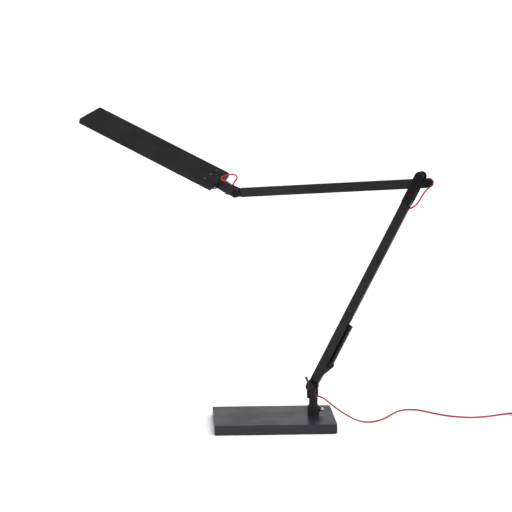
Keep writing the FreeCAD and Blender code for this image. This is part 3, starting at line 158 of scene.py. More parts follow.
class Graph:
    """The node graph of a material or world."""

    def __init__(self, owner: Material | bpy.types.World, place: str) -> None:
        """Starts with no node but the one that gives the place.

        Args:
            owner: the material or world.
            place: which of the Texture Coordinate node's outputs is the place.
        """
        owner.use_nodes = True
        self.tree = owner.node_tree
        self.tree.nodes.clear()
        self.place = Val(self, self.node("ShaderNodeTexCoord").outputs[place])

    def node(self, kind: str, settings: Sockets | None = None,
             sockets: dict[Any, Any] | None = None) -> bpy.types.Node:
        """Adds any node.

        Args:
            kind: the node's type.
            settings: its own settings, set first.
            sockets: values or Vals for its input sockets, by name or number.

        Returns:
            The node.
        """
        made = self.tree.nodes.new(kind)
        for key, value in (settings or {}).items():
            setattr(made, key, value)
        for key, value in (sockets or {}).items():
            self.feed(made.inputs[key], value)
        return made

    def feed(self, socket: bpy.types.NodeSocket, value: Any) -> None:
        """Links a Val to a socket, or sets a plain value on it.

        Args:
            socket: the input socket.
            value: the Val or plain value.
        """
        if isinstance(value, Val):
            self.tree.links.new(value.socket, socket)
        else:
            socket.default_value = value

    def noise(self, scale: float, detail: float = 2.0, roughness: float = 0.5) -> Val:
        """Soft noise from 0 to 1, by cells per metre, octaves and the share of the finer octaves."""
        sockets = {"Vector": self.place, "Scale": scale, "Detail": detail, "Roughness": roughness}
        return Val(self, self.node("ShaderNodeTexNoise", None, sockets).outputs[0])

    def cells(self, scale: float) -> Val:
        """Distance to the nearest of scattered points, for grain and pits."""
        sockets = {"Vector": self.place, "Scale": scale}
        return Val(self, self.node("ShaderNodeTexVoronoi", None, sockets).outputs["Distance"])

    def mapped(self, origin: Numbers, turn: Numbers = (0, 0, 0)) -> Val:
        """The piece's place seen from a point and turned.

        Args:
            origin: the point that becomes zero, in metres.
            turn: Euler angles in radians that undo a piece's own turn.

        Returns:
            The mapped place.
        """
        sockets = {0: self.place, 1: tuple(origin)}
        moved = self.node("ShaderNodeVectorMath", {"operation": "SUBTRACT"}, sockets)
        sockets = {"Vector": Val(self, moved.outputs[0]), "Rotation": tuple(turn)}
        return Val(self, self.node("ShaderNodeMapping", {"vector_type": "POINT"}, sockets).outputs[0])

    def axes(self, vector: Val) -> tuple[Val, Val, Val]:
        """The three numbers of a vector."""
        split = self.node("ShaderNodeSeparateXYZ", None, {0: vector})
        return tuple(Val(self, out) for out in split.outputs)

    def mix(self, factor: Val, first: Colour, second: Colour) -> Val:
        """Mix of two colours.

        Args:
            factor: 0 gives the first colour and 1 the second.
            first: the first colour.
            second: the second colour.

        Returns:
            The mixed colour.
        """
        made = self.node("ShaderNodeMix", {"data_type": "RGBA"})
        self.feed(made.inputs["Factor"], factor)
        colours = [socket for socket in made.inputs if socket.type == "RGBA"]
        for socket, value in zip(colours, (first, second)):
            socket.default_value = (*value, 1.0)
        return Val(self, next(out for out in made.outputs if out.type == "RGBA"))

    def bump(self, height: Val, depth: float, strength: float) -> Val:
        """Normal of a height from 0 to 1 that is depth metres deep, at a share of its strength."""
        sockets = {"Height": height, "Distance": depth, "Strength": strength}
        return Val(self, self.node("ShaderNodeBump", None, sockets).outputs[0])


# Finishes


@dataclass(frozen=True)
class Finish:
    """A named finish; each kind says what its shader gets."""

    name: str

    def look(self, graph: Graph) -> Sockets:
        """What its shader gets, by socket with underscores for spaces."""
        raise NotImplementedError

    def build(self) -> Material:
        """Makes the material, with a Principled shader at its end.

        Returns:
            The material.
        """
        material = bpy.data.materials.new(self.name)
        graph = Graph(material, "Object")
        named = {key.replace("_", " "): value for key, value in self.look(graph).items()}
        if "Specular" in named:
            named["Specular IOR Level"] = named.pop("Specular")
        shader = graph.node("ShaderNodeBsdfPrincipled", None, named)
        graph.node("ShaderNodeOutputMaterial", None, {"Surface": Val(graph, shader.outputs[0])})
        return material


@dataclass(frozen=True)
class PowderCoat(Finish):
    """Black powder coat: fine orange peel, slow patches of sheen and a few rubbed specks."""

    colour: Colour = (0.0062, 0.0052, 0.0062)
    patch: Colour = (0.0098, 0.0086, 0.0098)
    rough: float = 0.5
    spread: float = 0.08
    specular: float = 0.32
    peel: float = 0.00004

    def look(self, graph: Graph) -> Sockets:
        """Two blacks mixed by slow patches, grain and specks, with the grain as its skin.

        Args:
            graph: the material's graph.

        Returns:
            Values and Vals by socket.
        """
        slow = graph.noise(22.0, 3.0, 0.55)
        grain = graph.noise(1400.0, 2.0, 0.6)
        specks = graph.cells(260.0).ramp(0.0, 0.09, 1.0, 0.0)
        tone = slow.ramp(0.35, 0.7) * 0.6 + grain * 0.3 + specks * 0.12
        rough = self.rough - self.spread * slow.ramp(0.3, 0.7) + 0.06 * grain
        return dict(Base_Color=graph.mix(tone, self.colour, self.patch), Roughness=rough,
                    Specular=self.specular, Normal=graph.bump(grain, self.peel, 0.6))


@dataclass(frozen=True)
class MouldedPlastic(Finish):
    """Dark moulded plastic with a fine spark-eroded grain."""

    colour: Colour = (0.0048, 0.004, 0.0048)
    pale: Colour = (0.0084, 0.0072, 0.0084)
    rough: float = 0.48
    specular: float = 0.16
    grain: float = 1900.0
    depth: float = 0.00005

    def look(self, graph: Graph) -> Sockets:
        """Two blacks mixed by pits and slow noise, with the pits as its skin.

        Args:
            graph: the material's graph.

        Returns:
            Values and Vals by socket.
        """
        pits = graph.cells(self.grain)
        slow = graph.noise(40.0, 2.0)
        tone = pits * 0.5 + slow * 0.4
        rough = self.rough + 0.1 * (pits - 0.4) + 0.08 * (slow - 0.5)
        return dict(Base_Color=graph.mix(tone, self.colour, self.pale), Roughness=rough,
                    Specular=self.specular, Normal=graph.bump(pits, self.depth, 0.5))


@dataclass(frozen=True)
class BlackenedSteel(Finish):
    """Blackened steel of screws, nuts and pins, rubbed a little brighter in patches."""

    colour: Colour = (0.022, 0.022, 0.024)
    rubbed: Colour = (0.07, 0.07, 0.073)
    rough: float = 0.36
    metal: float = 0.65
    specular: float = 0.5

    def look(self, graph: Graph) -> Sockets:
        """Two greys mixed by worn patches, which are smoother and more metallic.

        Args:
            graph: the material's graph.

        Returns:
            Values and Vals by socket.
        """
        worn = graph.noise(420.0, 3.0, 0.6).ramp(0.52, 0.72)
        fine = graph.noise(2600.0, 2.0)
        rough = self.rough + 0.12 * fine - 0.1 * worn
        return dict(Base_Color=graph.mix(worn, self.colour, self.rubbed), Roughness=rough,
                    Metallic=self.metal + 0.3 * worn, Specular=self.specular,
                    Normal=graph.bump(fine, 0.00002, 0.4))


@dataclass(frozen=True)
class BrightNickel(Finish):
    """Bright nickel plate with faint turning marks and a few dull spots."""

    colour: Colour = (0.62, 0.62, 0.61)
    dull: Colour = (0.42, 0.42, 0.42)

    def look(self, graph: Graph) -> Sockets:
        """Bright metal with duller, rougher spots and fine lines as its skin.

        Args:
            graph: the material's graph.

        Returns:
            Values and Vals by socket.
        """
        spots = graph.noise(700.0, 3.0).ramp(0.5, 0.75)
        lines = graph.noise(5200.0, 1.0)
        rough = 0.14 + 0.14 * spots + 0.05 * lines
        return dict(Base_Color=graph.mix(spots, self.colour, self.dull), Roughness=rough, Metallic=1.0,
                    Normal=graph.bump(lines, 0.00001, 0.3))


@dataclass(frozen=True)
class CableSheath(Finish):
    """Red cable sheath, satin, with a fine twist in its skin and darker dust along it."""

    colour: Colour = (0.35, 0.0135, 0.0135)
    shade: Colour = (0.21, 0.007, 0.008)

    def look(self, graph: Graph) -> Sockets:
        """Two reds mixed by slow noise and a twist; the UV map runs around and along the cable.

        Args:
            graph: the material's graph.

        Returns:
            Values and Vals by socket.
        """
        sheath = graph.node("ShaderNodeUVMap", {"uv_map": "sheath"})
        around, along, _ = graph.axes(Val(graph, sheath.outputs[0]))
        twist = ((around * 12.0 + along * 2.0) * TURN).sine() * 0.5 + 0.5
        slow = graph.noise(90.0, 3.0, 0.6)
        tone = slow.ramp(0.35, 0.75) * 0.55 + twist * 0.2
        return dict(Base_Color=graph.mix(tone, self.colour, self.shade), Roughness=0.38 + 0.14 * slow,
                    Specular=0.35, Normal=graph.bump(twist, 0.00004, 0.35))


@dataclass(frozen=True)
class OpalPlastic(Finish):
    """Opal cover over the light sources: milky, with fine lengthwise ribs."""

    origin: Numbers
    turn: Numbers
    colour: Colour = (0.84, 0.84, 0.81)
    shade: Colour = (0.7, 0.7, 0.67)
    rib: float = 0.0012

    def look(self, graph: Graph) -> Sockets:
        """Milky white with a sine across the head as its ribs.

        Args:
            graph: the material's graph.

        Returns:
            Values and Vals by socket.
        """
        _, across, _ = graph.axes(graph.mapped(self.origin, self.turn))
        ribs = (across * (TURN / self.rib)).sine() * 0.5 + 0.5
        slow = graph.noise(60.0, 2.0)
        return dict(Base_Color=graph.mix(ribs * 0.35 + slow * 0.4, self.colour, self.shade),
                    Roughness=0.32 + 0.12 * slow, Specular=0.5, Normal=graph.bump(ribs, 0.00012, 0.6))


@dataclass(frozen=True)
class BoardLacquer(Finish):
    """Lacquered circuit board, with fine tracks under the lacquer."""

    colour: Colour
    track: Colour
    pitch: float = 0.0016

    def look(self, graph: Graph) -> Sockets:
        """Tracks where a slanted sine is high and a slow noise lets them show.

        Args:
            graph: the material's graph.

        Returns:
            Values and Vals by socket.
        """
        x, y, _ = graph.axes(graph.place)
        lanes = ((x + y * 0.4) * (TURN / self.pitch)).sine().ramp(0.5, 0.8)
        cloud = graph.noise(120.0, 2.0).ramp(0.45, 0.6)
        return dict(Base_Color=graph.mix(lanes * cloud, self.colour, self.track),
                    Roughness=0.3 + 0.15 * cloud, Specular=0.5, Normal=graph.bump(lanes, 0.00003, 0.4))


@dataclass(frozen=True)
class MatRubber(Finish):
    """Matt rubber with a pebbled skin and pale dust in its hollows."""

    colour: Colour = (0.012, 0.012, 0.012)
    dust: Colour = (0.035, 0.034, 0.032)

    def look(self, graph: Graph) -> Sockets:
        """Dust between the pebbles, which are its skin.

        Args:
            graph: the material's graph.

        Returns:
            Values and Vals by socket.
        """
        pebbles = graph.cells(900.0)
        slow = graph.noise(35.0, 3.0)
        return dict(Base_Color=graph.mix((1 - pebbles) * slow, self.colour, self.dust), Specular=0.3,
                    Roughness=0.72 + 0.15 * slow, Normal=graph.bump(pebbles, 0.00015, 0.5))


@dataclass(frozen=True)
class MarkedCap(Finish):
    """Dark button cap with a pale ring printed in its middle."""

    centre: Numbers
    ring: float = 0.0014
    width: float = 0.0007
    pale: Colour = (0.055, 0.055, 0.058)
    dark: Colour = (0.012, 0.012, 0.013)

    def look(self, graph: Graph) -> Sockets:
        """A ring where the distance from the centre is near its radius.

        Args:
            graph: the material's graph.

        Returns:
            Values and Vals by socket.
        """
        x, y, z = graph.axes(graph.mapped(self.centre))
        away = (x * x + y * y + z * z).root()
        mark = abs(away - self.ring).ramp(self.width * 0.7, self.width, 1.0, 0.0)
        grain = graph.noise(2200.0, 2.0)
        return dict(Base_Color=graph.mix(mark, self.dark, self.pale),
                    Roughness=0.45 + 0.1 * grain, Specular=0.4, Normal=graph.bump(grain, 0.00002, 0.4))


@dataclass(frozen=True)
class StudioFloor(Finish):
    """Plain pale floor of the studio, with the faintest tone of paper."""

    colour: Colour = (0.94, 0.94, 0.94)
    shade: Colour = (0.92, 0.92, 0.92)

    def look(self, graph: Graph) -> Sockets:
        """What its shader gets."""
        tone = graph.mix(graph.noise(3.0, 2.0), self.colour, self.shade)
        return dict(Base_Color=tone, Roughness=0.85, Specular=0.2)


# Places and surfaces


@dataclass(frozen=True)
class Place:
    """A local frame: its origin, and its axes as the columns of a matrix."""

    origin: Points
    axes: Points

    def put(self, points: Any) -> Points:
        """Local millimetres to the lamp's frame in metres: origin plus axes times each point."""
        return self.origin + np.asarray(points, float) @ self.axes.T * MM

    def moved(self, x: float, y: float, z: float) -> "Place":
        """The same turn at another local point, in millimetres."""
        return Place(self.put((x, y, z)), self.axes)

    def turned(self, axis: str, degrees: float) -> "Place":
        """The same origin, turned about one of its own axes."""
        return Place(self.origin, self.axes @ np.array(Matrix.Rotation(math.radians(degrees), 3, axis)))

    def facing(self, direction: Numbers) -> "Place":
        """The same origin, with z along a local direction.

        Args:
            direction: the new z axis in this frame.

        Returns:
            A frame whose z axis is that direction and whose x axis is square to it.
        """
        z = self.axes @ (np.asarray(direction, float) / np.linalg.norm(direction))
        helper = self.axes[:, 1] if abs(z @ self.axes[:, 1]) < 0.9 else self.axes[:, 0]
        x = np.cross(helper, z)
        x /= np.linalg.norm(x)
        return Place(self.origin, np.column_stack([x, np.cross(z, x), z]))

    def euler(self) -> tuple[float, ...]:
        """Angles that turn the lamp's frame back into this one."""
        return tuple(Matrix(self.axes.T.tolist()).to_euler("XYZ"))


class Skin:
    """A mesh gathered from grids of points."""

    def __init__(self) -> None:
        """Starts with no faces."""
        self.points: list[Points] = []
        self.faces: list[list[int]] = []
        self.uvs: list[Points] = []
        self.count = 0

    def grid(self, points: Points, wrap: bool = True, caps: bool = True, uv: Points | None = None) -> "Skin":
        """Adds a grid of quads.

        Args:
            points: an array of rows, columns and three coordinates, in metres.
            wrap: whether the last column joins the first.
            caps: whether the first and last rows are closed with one face each.
            uv: an array of rows, columns plus one where the grid wraps, and two, or None.

        Returns:
            This skin.
        """
        rows, columns, _ = points.shape
        index = self.count + np.arange(rows * columns).reshape(rows, columns)
        right = np.roll(index, -1, axis=1) if wrap else index[:, 1:]
        left = index if wrap else index[:, :-1]
        quads = np.stack([left[:-1], right[:-1], right[1:], left[1:]], axis=-1).reshape(-1, 4)
        self.faces += quads.tolist()
        if uv is not None:
            corners = np.stack([uv[:-1, :-1], uv[:-1, 1:], uv[1:, 1:], uv[1:, :-1]], axis=2)
            self.uvs.append(corners.reshape(-1, 2))
        if caps:
            self.faces += [index[0, ::-1].tolist(), index[-1].tolist()]
            if uv is not None:
                self.uvs.append(np.concatenate([uv[0, columns - 1::-1], uv[-1, :columns]]))
        self.points.append(points.reshape(-1, 3))
        self.count += rows * columns
        return self

    def piece(self, name: str, material: Material) -> Piece:
        """Makes the object, smooth but for its crisp edges.

        Args:
            name: the piece's name.
            material: its finish.

        Returns:
            The object, at the origin.
        """
        mesh = bpy.data.meshes.new(name)
        mesh.from_pydata(np.concatenate(self.points).tolist(), [], self.faces)
        if self.uvs:
            layer = mesh.uv_layers.new(name="sheath")
            layer.data.foreach_set("uv", np.concatenate(self.uvs).astype(np.float32).ravel())
        mesh.polygons.foreach_set("use_smooth", np.ones(len(mesh.polygons), bool))
        mesh.update()
        mesh.set_sharp_from_angle(angle=CRISP)
        mesh.materials.append(material)
        made = bpy.data.objects.new(name, mesh)
        bpy.context.scene.collection.objects.link(made)
        return made


def turned_grid(rings: Rows, place: Place, sides: int, flutes: int, flute: float) -> Points:
    """Turned surface: each ring is (height, radius, hex share, flute share), carried round the z axis.

    The radius at angle t is radius * (1 - share + share * cos(s / 2) / cos(t mod s - s / 2)), with s a sixth
    of a turn, less flute * share * (0.5 + 0.5 * cos(flutes * t)).

    Args:
        rings: the rows along the profile, in millimetres; shares left out are 0.
        place: the frame whose z axis is the turning axis.
        sides: columns of the grid.
        flutes: hollows round the rim.
        flute: depth of a hollow, in millimetres.

    Returns:
        The grid, in metres.
    """
    table = np.array([(list(ring) + [0.0, 0.0])[:4] for ring in rings], float)
    height, radius, share, cut = (table[:, k:k + 1] for k in range(4))
    angle = np.linspace(0, TURN, sides, endpoint=False)[None, :]
    step = TURN / HEX_CORNERS
    flat = math.cos(step / 2) / np.cos(np.mod(angle, step) - step / 2)
    reach = radius * (1 - share + share * flat) - cut * flute * (0.5 + 0.5 * np.cos(flutes * angle))
    tall = np.broadcast_to(height, reach.shape)
    return place.put(np.stack([reach * np.cos(angle), reach * np.sin(angle), tall], axis=-1))


def turned_piece(name: str, material: Material, rings: Rows, place: Place, sides: int = 48,
                 caps: bool = True, flutes: int = 0, flute: float = 0.0) -> Piece:
    """A turned piece with its finish; caps closes its two ends, the rest is as for turned_grid."""
    return Skin().grid(turned_grid(rings, place, sides, flutes, flute), caps=caps).piece(name, material)


def dome(low: float, rise: float, rim: float, drawn: float, steps: int) -> list[tuple[float, ...]]:
    """Rings of a quarter-round edge: height low + rise * sin(a), radius rim - drawn * (1 - cos(a))."""
    return [(low + rise * math.sin(a), rim - drawn + drawn * math.cos(a))
            for a in np.linspace(0, QUARTER, steps)]


def rounded_profile(half_width: float, half_height: float, radius: float, steps: int) -> Points:
    """Outline of a rectangle with round corners: four quarter circles about the inset corners.

    Args:
        half_width: half size along the first axis.
        half_height: half size along the second axis.
        radius: corner radius.
        steps: points on each quarter circle.

    Returns:
        Points (n, 2), anticlockwise.
    """
    quarter = np.linspace(0, QUARTER, steps)
    turn = (np.arange(4) * QUARTER)[:, None] + quarter[None, :]
    signs = np.array([(1, 1), (-1, 1), (-1, -1), (1, -1)], float)
    middle = signs * np.array([half_width - radius, half_height - radius])
    arc = np.stack([np.cos(turn), np.sin(turn)], axis=-1) * radius
    return (middle[:, None, :] + arc).reshape(-1, 2)


def spline_points(name: str, route: Points, resolution: int = 8) -> Points:
    """Points of the smooth line that a route's control points give.

    Args:
        name: a name for the helper curve.
        route: control points in metres.
        resolution: points between two control points.

    Returns:
        Points (n, 3) along a NURBS spline of order 3 that starts and ends at the route's ends.
    """
    curve = bpy.data.curves.new(name, "CURVE")
    curve.dimensions = "3D"
    curve.resolution_u = resolution
    spline = curve.splines.new("NURBS")
    spline.points.add(len(route) - 1)
    spline.points.foreach_set("co", np.column_stack([route, np.ones(len(route))]).ravel())
    spline.order_u = 3
    spline.use_endpoint_u = True
    holder = bpy.data.objects.new(name, curve)
    line = bpy.data.meshes.new_from_object(holder)
    found = np.empty(len(line.vertices) * 3)
    line.vertices.foreach_get("co", found)
    bpy.data.meshes.remove(line)
    bpy.data.objects.remove(holder)
    bpy.data.curves.remove(curve)
    return found.reshape(-1, 3)


def tube_grid(line: Points, radius: float, square_to: Numbers, sides: int) -> tuple[Points, Points]:
    """Round tube along a line: point = line + radius (cos a u + sin a v), with u and v square to the tangent.

    Args:
        line: points along the middle, in metres.
        radius: in metres.
        square_to: a direction that the line never follows, from which u is worked out.
        sides: columns of the grid.

    Returns:
        The grid, and its UV map: the share of a turn, and the length in turns of the sheath.
    """
    tangent = np.gradient(line, axis=0)
    tangent /= np.linalg.norm(tangent, axis=1)[:, None]
    across = np.cross(tangent, np.asarray(square_to, float))
    across /= np.linalg.norm(across, axis=1)[:, None]
    upward = np.cross(tangent, across)
    angle = np.linspace(0, TURN, sides, endpoint=False)[None, :, None]
    ring = np.cos(angle) * across[:, None, :] + np.sin(angle) * upward[:, None, :]
    length = np.concatenate([[0.0], np.cumsum(np.linalg.norm(np.diff(line, axis=0), axis=1))])
    share, run = np.meshgrid(np.linspace(0, 1, sides + 1), length / (TURN * radius))
    return line[:, None, :] + ring * radius, np.stack([share, run], axis=-1)


def cable_piece(name: str, material: Material, line: Points, radius: float, square_to: Numbers,
                sides: int = 14) -> Piece:
    """A round cable with its finish; the rest is as for tube_grid."""
    points, uv = tube_grid(line, radius, square_to, sides)
    return Skin().grid(points, uv=uv).piece(name, material)


# The lamp


@dataclass(frozen=True)
class Attitude:
    """Where the lamp's bodies stand at rest; lengths in millimetres and angles in degrees."""

    post_x: float = 69.5
    arm_yaw: float = 27.0
    pivot_x: float = -1.5
    pivot_z: float = 69.95
    lower_lean: float = 27.3
    lower_length: float = 406.0
    upper_rise: float = 5.2
    upper_length: float = 332.0
    head_rise: float = 23.0
    head_roll: float = 16.7

    def base(self) -> Place:
        """The lamp's own frame."""
        return Place(np.zeros(3), np.eye(3))

    def swivel(self) -> Place:
        """The post: x in the plane of the arms, y to its back."""
        return self.base().moved(self.post_x, 0, 0).turned("Z", -self.arm_yaw)

    def lower(self) -> Place:
        """The lower arm's pivot, with z along the arm."""
        return self.swivel().moved(self.pivot_x, 0, self.pivot_z).turned("Y", self.lower_lean)

    def elbow(self) -> Place:
        """The elbow, turned as the lower arm."""
        return self.lower().moved(0, 0, self.lower_length)

    def upper(self) -> Place:
        """The elbow, with -x along the upper arm."""
        return self.elbow().turned("Y", -self.lower_lean - self.upper_rise)

    def link(self) -> Place:
        """The head's hinge, with -x towards the head."""
        return self.upper().moved(-self.upper_length, 0, 0).turned("Y", self.upper_rise + self.head_rise)

    def head(self) -> Place:
        """The head, rolled about the link's x axis."""
        return self.link().turned("X", self.head_roll)


class Finishes:
    """The materials that the lamp's pieces share, each made once."""

    def __init__(self, stand: Attitude) -> None:
        """Makes every shared finish.

        Args:
            stand: where the bodies stand, for the opal's ribs.
        """
        head = stand.head()
        self.base = PowderCoat("base_coat", (0.0075, 0.0065, 0.0115), (0.0115, 0.0102, 0.016), 0.46,
                               specular=0.35).build()
        self.arm = PowderCoat("arm_coat", rough=0.47, specular=0.155).build()
        self.post = PowderCoat("post_coat", rough=0.4, specular=0.17).build()
        self.head = PowderCoat("head_coat", (0.005, 0.005, 0.006), (0.008, 0.008, 0.0092), 0.55,
                               specular=0.13).build()
        self.soft = MouldedPlastic("grommet_skin", rough=0.75, specular=0.06).build()
        # painted shade: a darker, duller copy of the blackened steel for the bolts and nuts at the elbow and
        # the link
        self.joint = BlackenedSteel("joint_steel", (0.004, 0.004, 0.0042), (0.011, 0.011, 0.0115), rough=0.5,
                                    metal=0.1, specular=0.1).build()
        # painted shade: a darker, less shiny copy of the arm coat for the elbow's yoke and end cap
        self.elbow = PowderCoat("elbow_coat", (0.0042, 0.0038, 0.0042), (0.0068, 0.0062, 0.0068), 0.45,
                                specular=0.08).build()
        self.dull = BrightNickel("dull_nickel", (0.38, 0.38, 0.38), (0.26, 0.26, 0.26)).build()
        self.plastic = MouldedPlastic("dark_plastic").build()
        self.case = MouldedPlastic("supply_case", grain=1200.0, depth=0.00008).build()
        self.steel = BlackenedSteel("black_steel").build()
        self.nickel = BrightNickel("bright_nickel").build()
        self.nylon = MouldedPlastic("black_nylon", rough=0.6).build()
        self.sheath = CableSheath("red_sheath").build()
        self.opal = OpalPlastic("opal_cover", tuple(head.origin), head.euler()).build()
        self.lights = BoardLacquer("light_board", (0.72, 0.72, 0.7), (0.8, 0.78, 0.6)).build()
        self.circuit = BoardLacquer("control_board", (0.01, 0.05, 0.02), (0.03, 0.12, 0.05)).build()
        self.rubber = MatRubber("mat_rubber").build()


def seat(piece: Piece, body: str, slot: str, *nodes: str) -> Piece:
    """Lets a piece ride on a body in place of nodes.

    Args:
        piece: the new object.
        body: the body that carries it.
        slot: the record's material slot; not used.
        nodes: the nodes that it stands for.

    Returns:
        The piece.
    """
    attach(piece, body)
    if nodes:
        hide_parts(*nodes)
    LOG.info("made %s on %s", piece.name, body)
    return piece


@dataclass
class Assembly:
    """A sub-assembly: where the lamp's bodies stand, the finishes that they share and the frame's nodes."""

    stand: Attitude
    finish: Finishes
    nodes: Nodes

    def build(self) -> None:
        """Dresses the sub-assembly's nodes and makes its own pieces."""
        raise NotImplementedError

    def dress(self, material: Material, *names: str) -> None:
        """Gives nodes of the frame a finish.

        Args:
            material: the finish.
            names: which nodes.
        """
        for name in names:
            mesh = self.nodes[name].data
            mesh.materials.clear()
            mesh.materials.append(material)
            LOG.info("dressed %s in %s", name, material.name)


@dataclass
class Base(Assembly):
    """Weighted plate, its pad, the post's socket and the thumb screw; sizes in millimetres."""

    top: float = 17.2
    thumb_height: float = 9.5
    thumb_face: float = 12.4
    thumb_head: float = 5.4
    thumb_radius: float = 3.3
    thumb_shaft: float = 2.0
    thumb_tip: float = 5.3
    flutes: int = 16
    flute: float = 0.35

    def build(self) -> None:
        """Dresses the base's nodes and makes the thumb screw."""
        self.dress(self.finish.base, "base_plate")
        self.dress(self.finish.post, "post_socket")
        self.dress(self.finish.rubber, "base_pad")
        self.dress(self.finish.steel, "socket_screw")
        self.dress(self.finish.nylon, "swivel_washer")
        self.thumb_screw()

    def thumb_screw(self) -> Piece:
        """Fluted thumb screw: a turned profile along +X whose rim has hollows round it.

        Returns:
            The piece.
        """
        place = self.stand.base().moved(self.stand.post_x, 0, self.top + self.thumb_height).facing((1, 0, 0))
        low, rim, end = self.thumb_face, self.thumb_radius, self.thumb_face + self.thumb_head
        tip, shaft = self.thumb_tip, self.thumb_shaft
        rings = [(tip, shaft * 0.7), (tip + 0.6, shaft), (low, shaft), (low, rim - 0.5),
                 (low + 0.15, rim - 0.2, 0, 0.4), (low + 0.5, rim, 0, 1), (end - 0.7, rim, 0, 1),
                 (end - 0.25, rim - 0.25, 0, 0.5), (end, rim - 0.8), (end, 1.6), (end - 0.35, 1.3),
                 (end - 0.35, 0.05)]
        piece = turned_piece("thumb_screw_fluted", self.finish.dull, rings, place, sides=96,
                             flutes=self.flutes, flute=self.flute)
        return seat(piece, "thumb_screw", "bright_steel", "thumb_screw")


@dataclass
class Fasteners(Assembly):
    """Button-head bolts and small screws with a hex recess, and domed cap nuts; sizes in millimetres."""

    bolt: float = 2.5
    bolt_past: float = 2.0
    knob: float = 5.0
    knob_thick: float = 2.4
    knob_round: float = 1.6
    knob_key: float = 1.75
    knob_recess: float = 1.5
    nut_thick: float = 3.6
    nut_flats: float = 2.0
    elbow_face: float = 8.55
    link_face: float = 7.95
    screw: float = 1.5
    screw_reach: float = 3.9
    screw_head: float = 2.7
    screw_thick: float = 1.5
    screw_round: float = 0.8
    screw_key: float = 1.0
    screw_recess: float = 0.9
    foot_screw: Numbers = (-2.5, 5.0, 36.0)
    yoke_screw: Numbers = (-2.5, 5.0, -50.0)
    tongue_screw: Numbers = (-310.7, 5.0, 2.5)

    def build(self) -> None:
        """Makes the fasteners of both arms and the link."""
        elbow, link = self.stand.elbow(), self.stand.link()
        for place, face, body, joint in ((elbow, self.elbow_face, "lower_arm", "elbow"),
                                         (link, self.link_face, "link", "tilt")):
            self.bolt_head(place, face, body, joint)
            self.cap_nut(place, face, body, joint)
        self.pan_screw(self.stand.lower().moved(*self.foot_screw), "lower_arm", "foot_screw")
        self.pan_screw(elbow.moved(*self.yoke_screw), "lower_arm", "yoke_screw")
        self.pan_screw(self.stand.upper().moved(*self.tongue_screw), "upper_arm", "tongue_screw")

    def recess(self, top: float, key: float, depth: float) -> list[tuple[float, ...]]:
        """Rings of a hex recess that goes down from a face."""
        return [(top, key * 1.12), (top - 0.1, key, 1.0), (top - depth, key, 1.0), (top - depth, 0.04, 1.0)]

    def bolt_head(self, place: Place, face: float, body: str, joint: str) -> Piece:
        """Domed bolt head on the front cheek, with its shank to the nut: a turned profile.

        Args:
            place: the joint's frame.
            face: the cheek's distance from the middle, in millimetres.
            body: the body that carries it.
            joint: the joint's name, with which its nodes' names start.

        Returns:
            The piece.
        """
        front = place.facing((0, Side.FRONT.value, 0))
        tip, under, shank = -face - self.bolt_past, face - 0.02, self.bolt
        rings = [(tip, shank * 0.9), (tip + 0.5, shank), (under, shank), (under, self.knob - 0.15)]
        rings += dome(face, self.knob_thick, self.knob, self.knob_round, 7)
        rings += self.recess(face + self.knob_thick, self.knob_key, self.knob_recess)
        # the joint finish is the darker steel copy, painted shade
        piece = turned_piece(f"{joint}_bolt_domed", self.finish.joint, rings, front, sides=72)
        return seat(piece, body, "dark_steel", f"{joint}_bolt")

    def cap_nut(self, place: Place, face: float, body: str, joint: str) -> Piece:
        """Domed cap nut on the rear cheek: a turned profile, six flats under a round dome.

        Args:
            place: the joint's frame.
            face: the cheek's distance from the middle, in millimetres.
            body: the body that carries it.
            joint: the joint's name, with which its nodes' names start.

        Returns:
            The piece.
        """
        rear = place.facing((0, Side.REAR.value, 0))
        rim, top = self.knob, face + self.nut_flats
        rise, reach = self.nut_thick - self.nut_flats, rim - 1.1
        rings = [(face, 2.6), (face, rim - 0.4, 1.0), (face + 0.25, rim, 1.0), (top - 0.3, rim, 1.0),
                 (top, rim - 0.6, 0.5)]
        rings += [(top + rise * math.sin(a), reach * math.cos(a) + 0.02)
                  for a in np.linspace(0.25, QUARTER, 8)]
        # the joint finish is the darker steel copy, painted shade
        piece = turned_piece(f"{joint}_nut_domed", self.finish.joint, rings, rear, sides=72)
        return seat(piece, body, "dark_steel", f"{joint}_nut")

    def pan_screw(self, place: Place, body: str, node: str) -> Piece:
        """Small pan-head screw from behind: a turned profile with a hex recess.

        Args:
            place: the frame at the face that it sits on.
            body: the body that carries it.
            node: the node that it stands for.

        Returns:
            The piece.
        """
        rear = place.facing((0, Side.REAR.value, 0))
        tip, shank, head = -self.screw_reach, self.screw, self.screw_head
        rings = [(tip, shank * 0.8), (tip + 0.3, shank), (0.01, shank), (0.01, head - 0.1)]
        rings += dome(0.0, self.screw_thick, head, self.screw_round, 6)
        rings += self.recess(self.screw_thick, self.screw_key, self.screw_recess)
        piece = turned_piece(f"{node}_head", self.finish.steel, rings, rear)
        return seat(piece, body, "dark_steel", node)


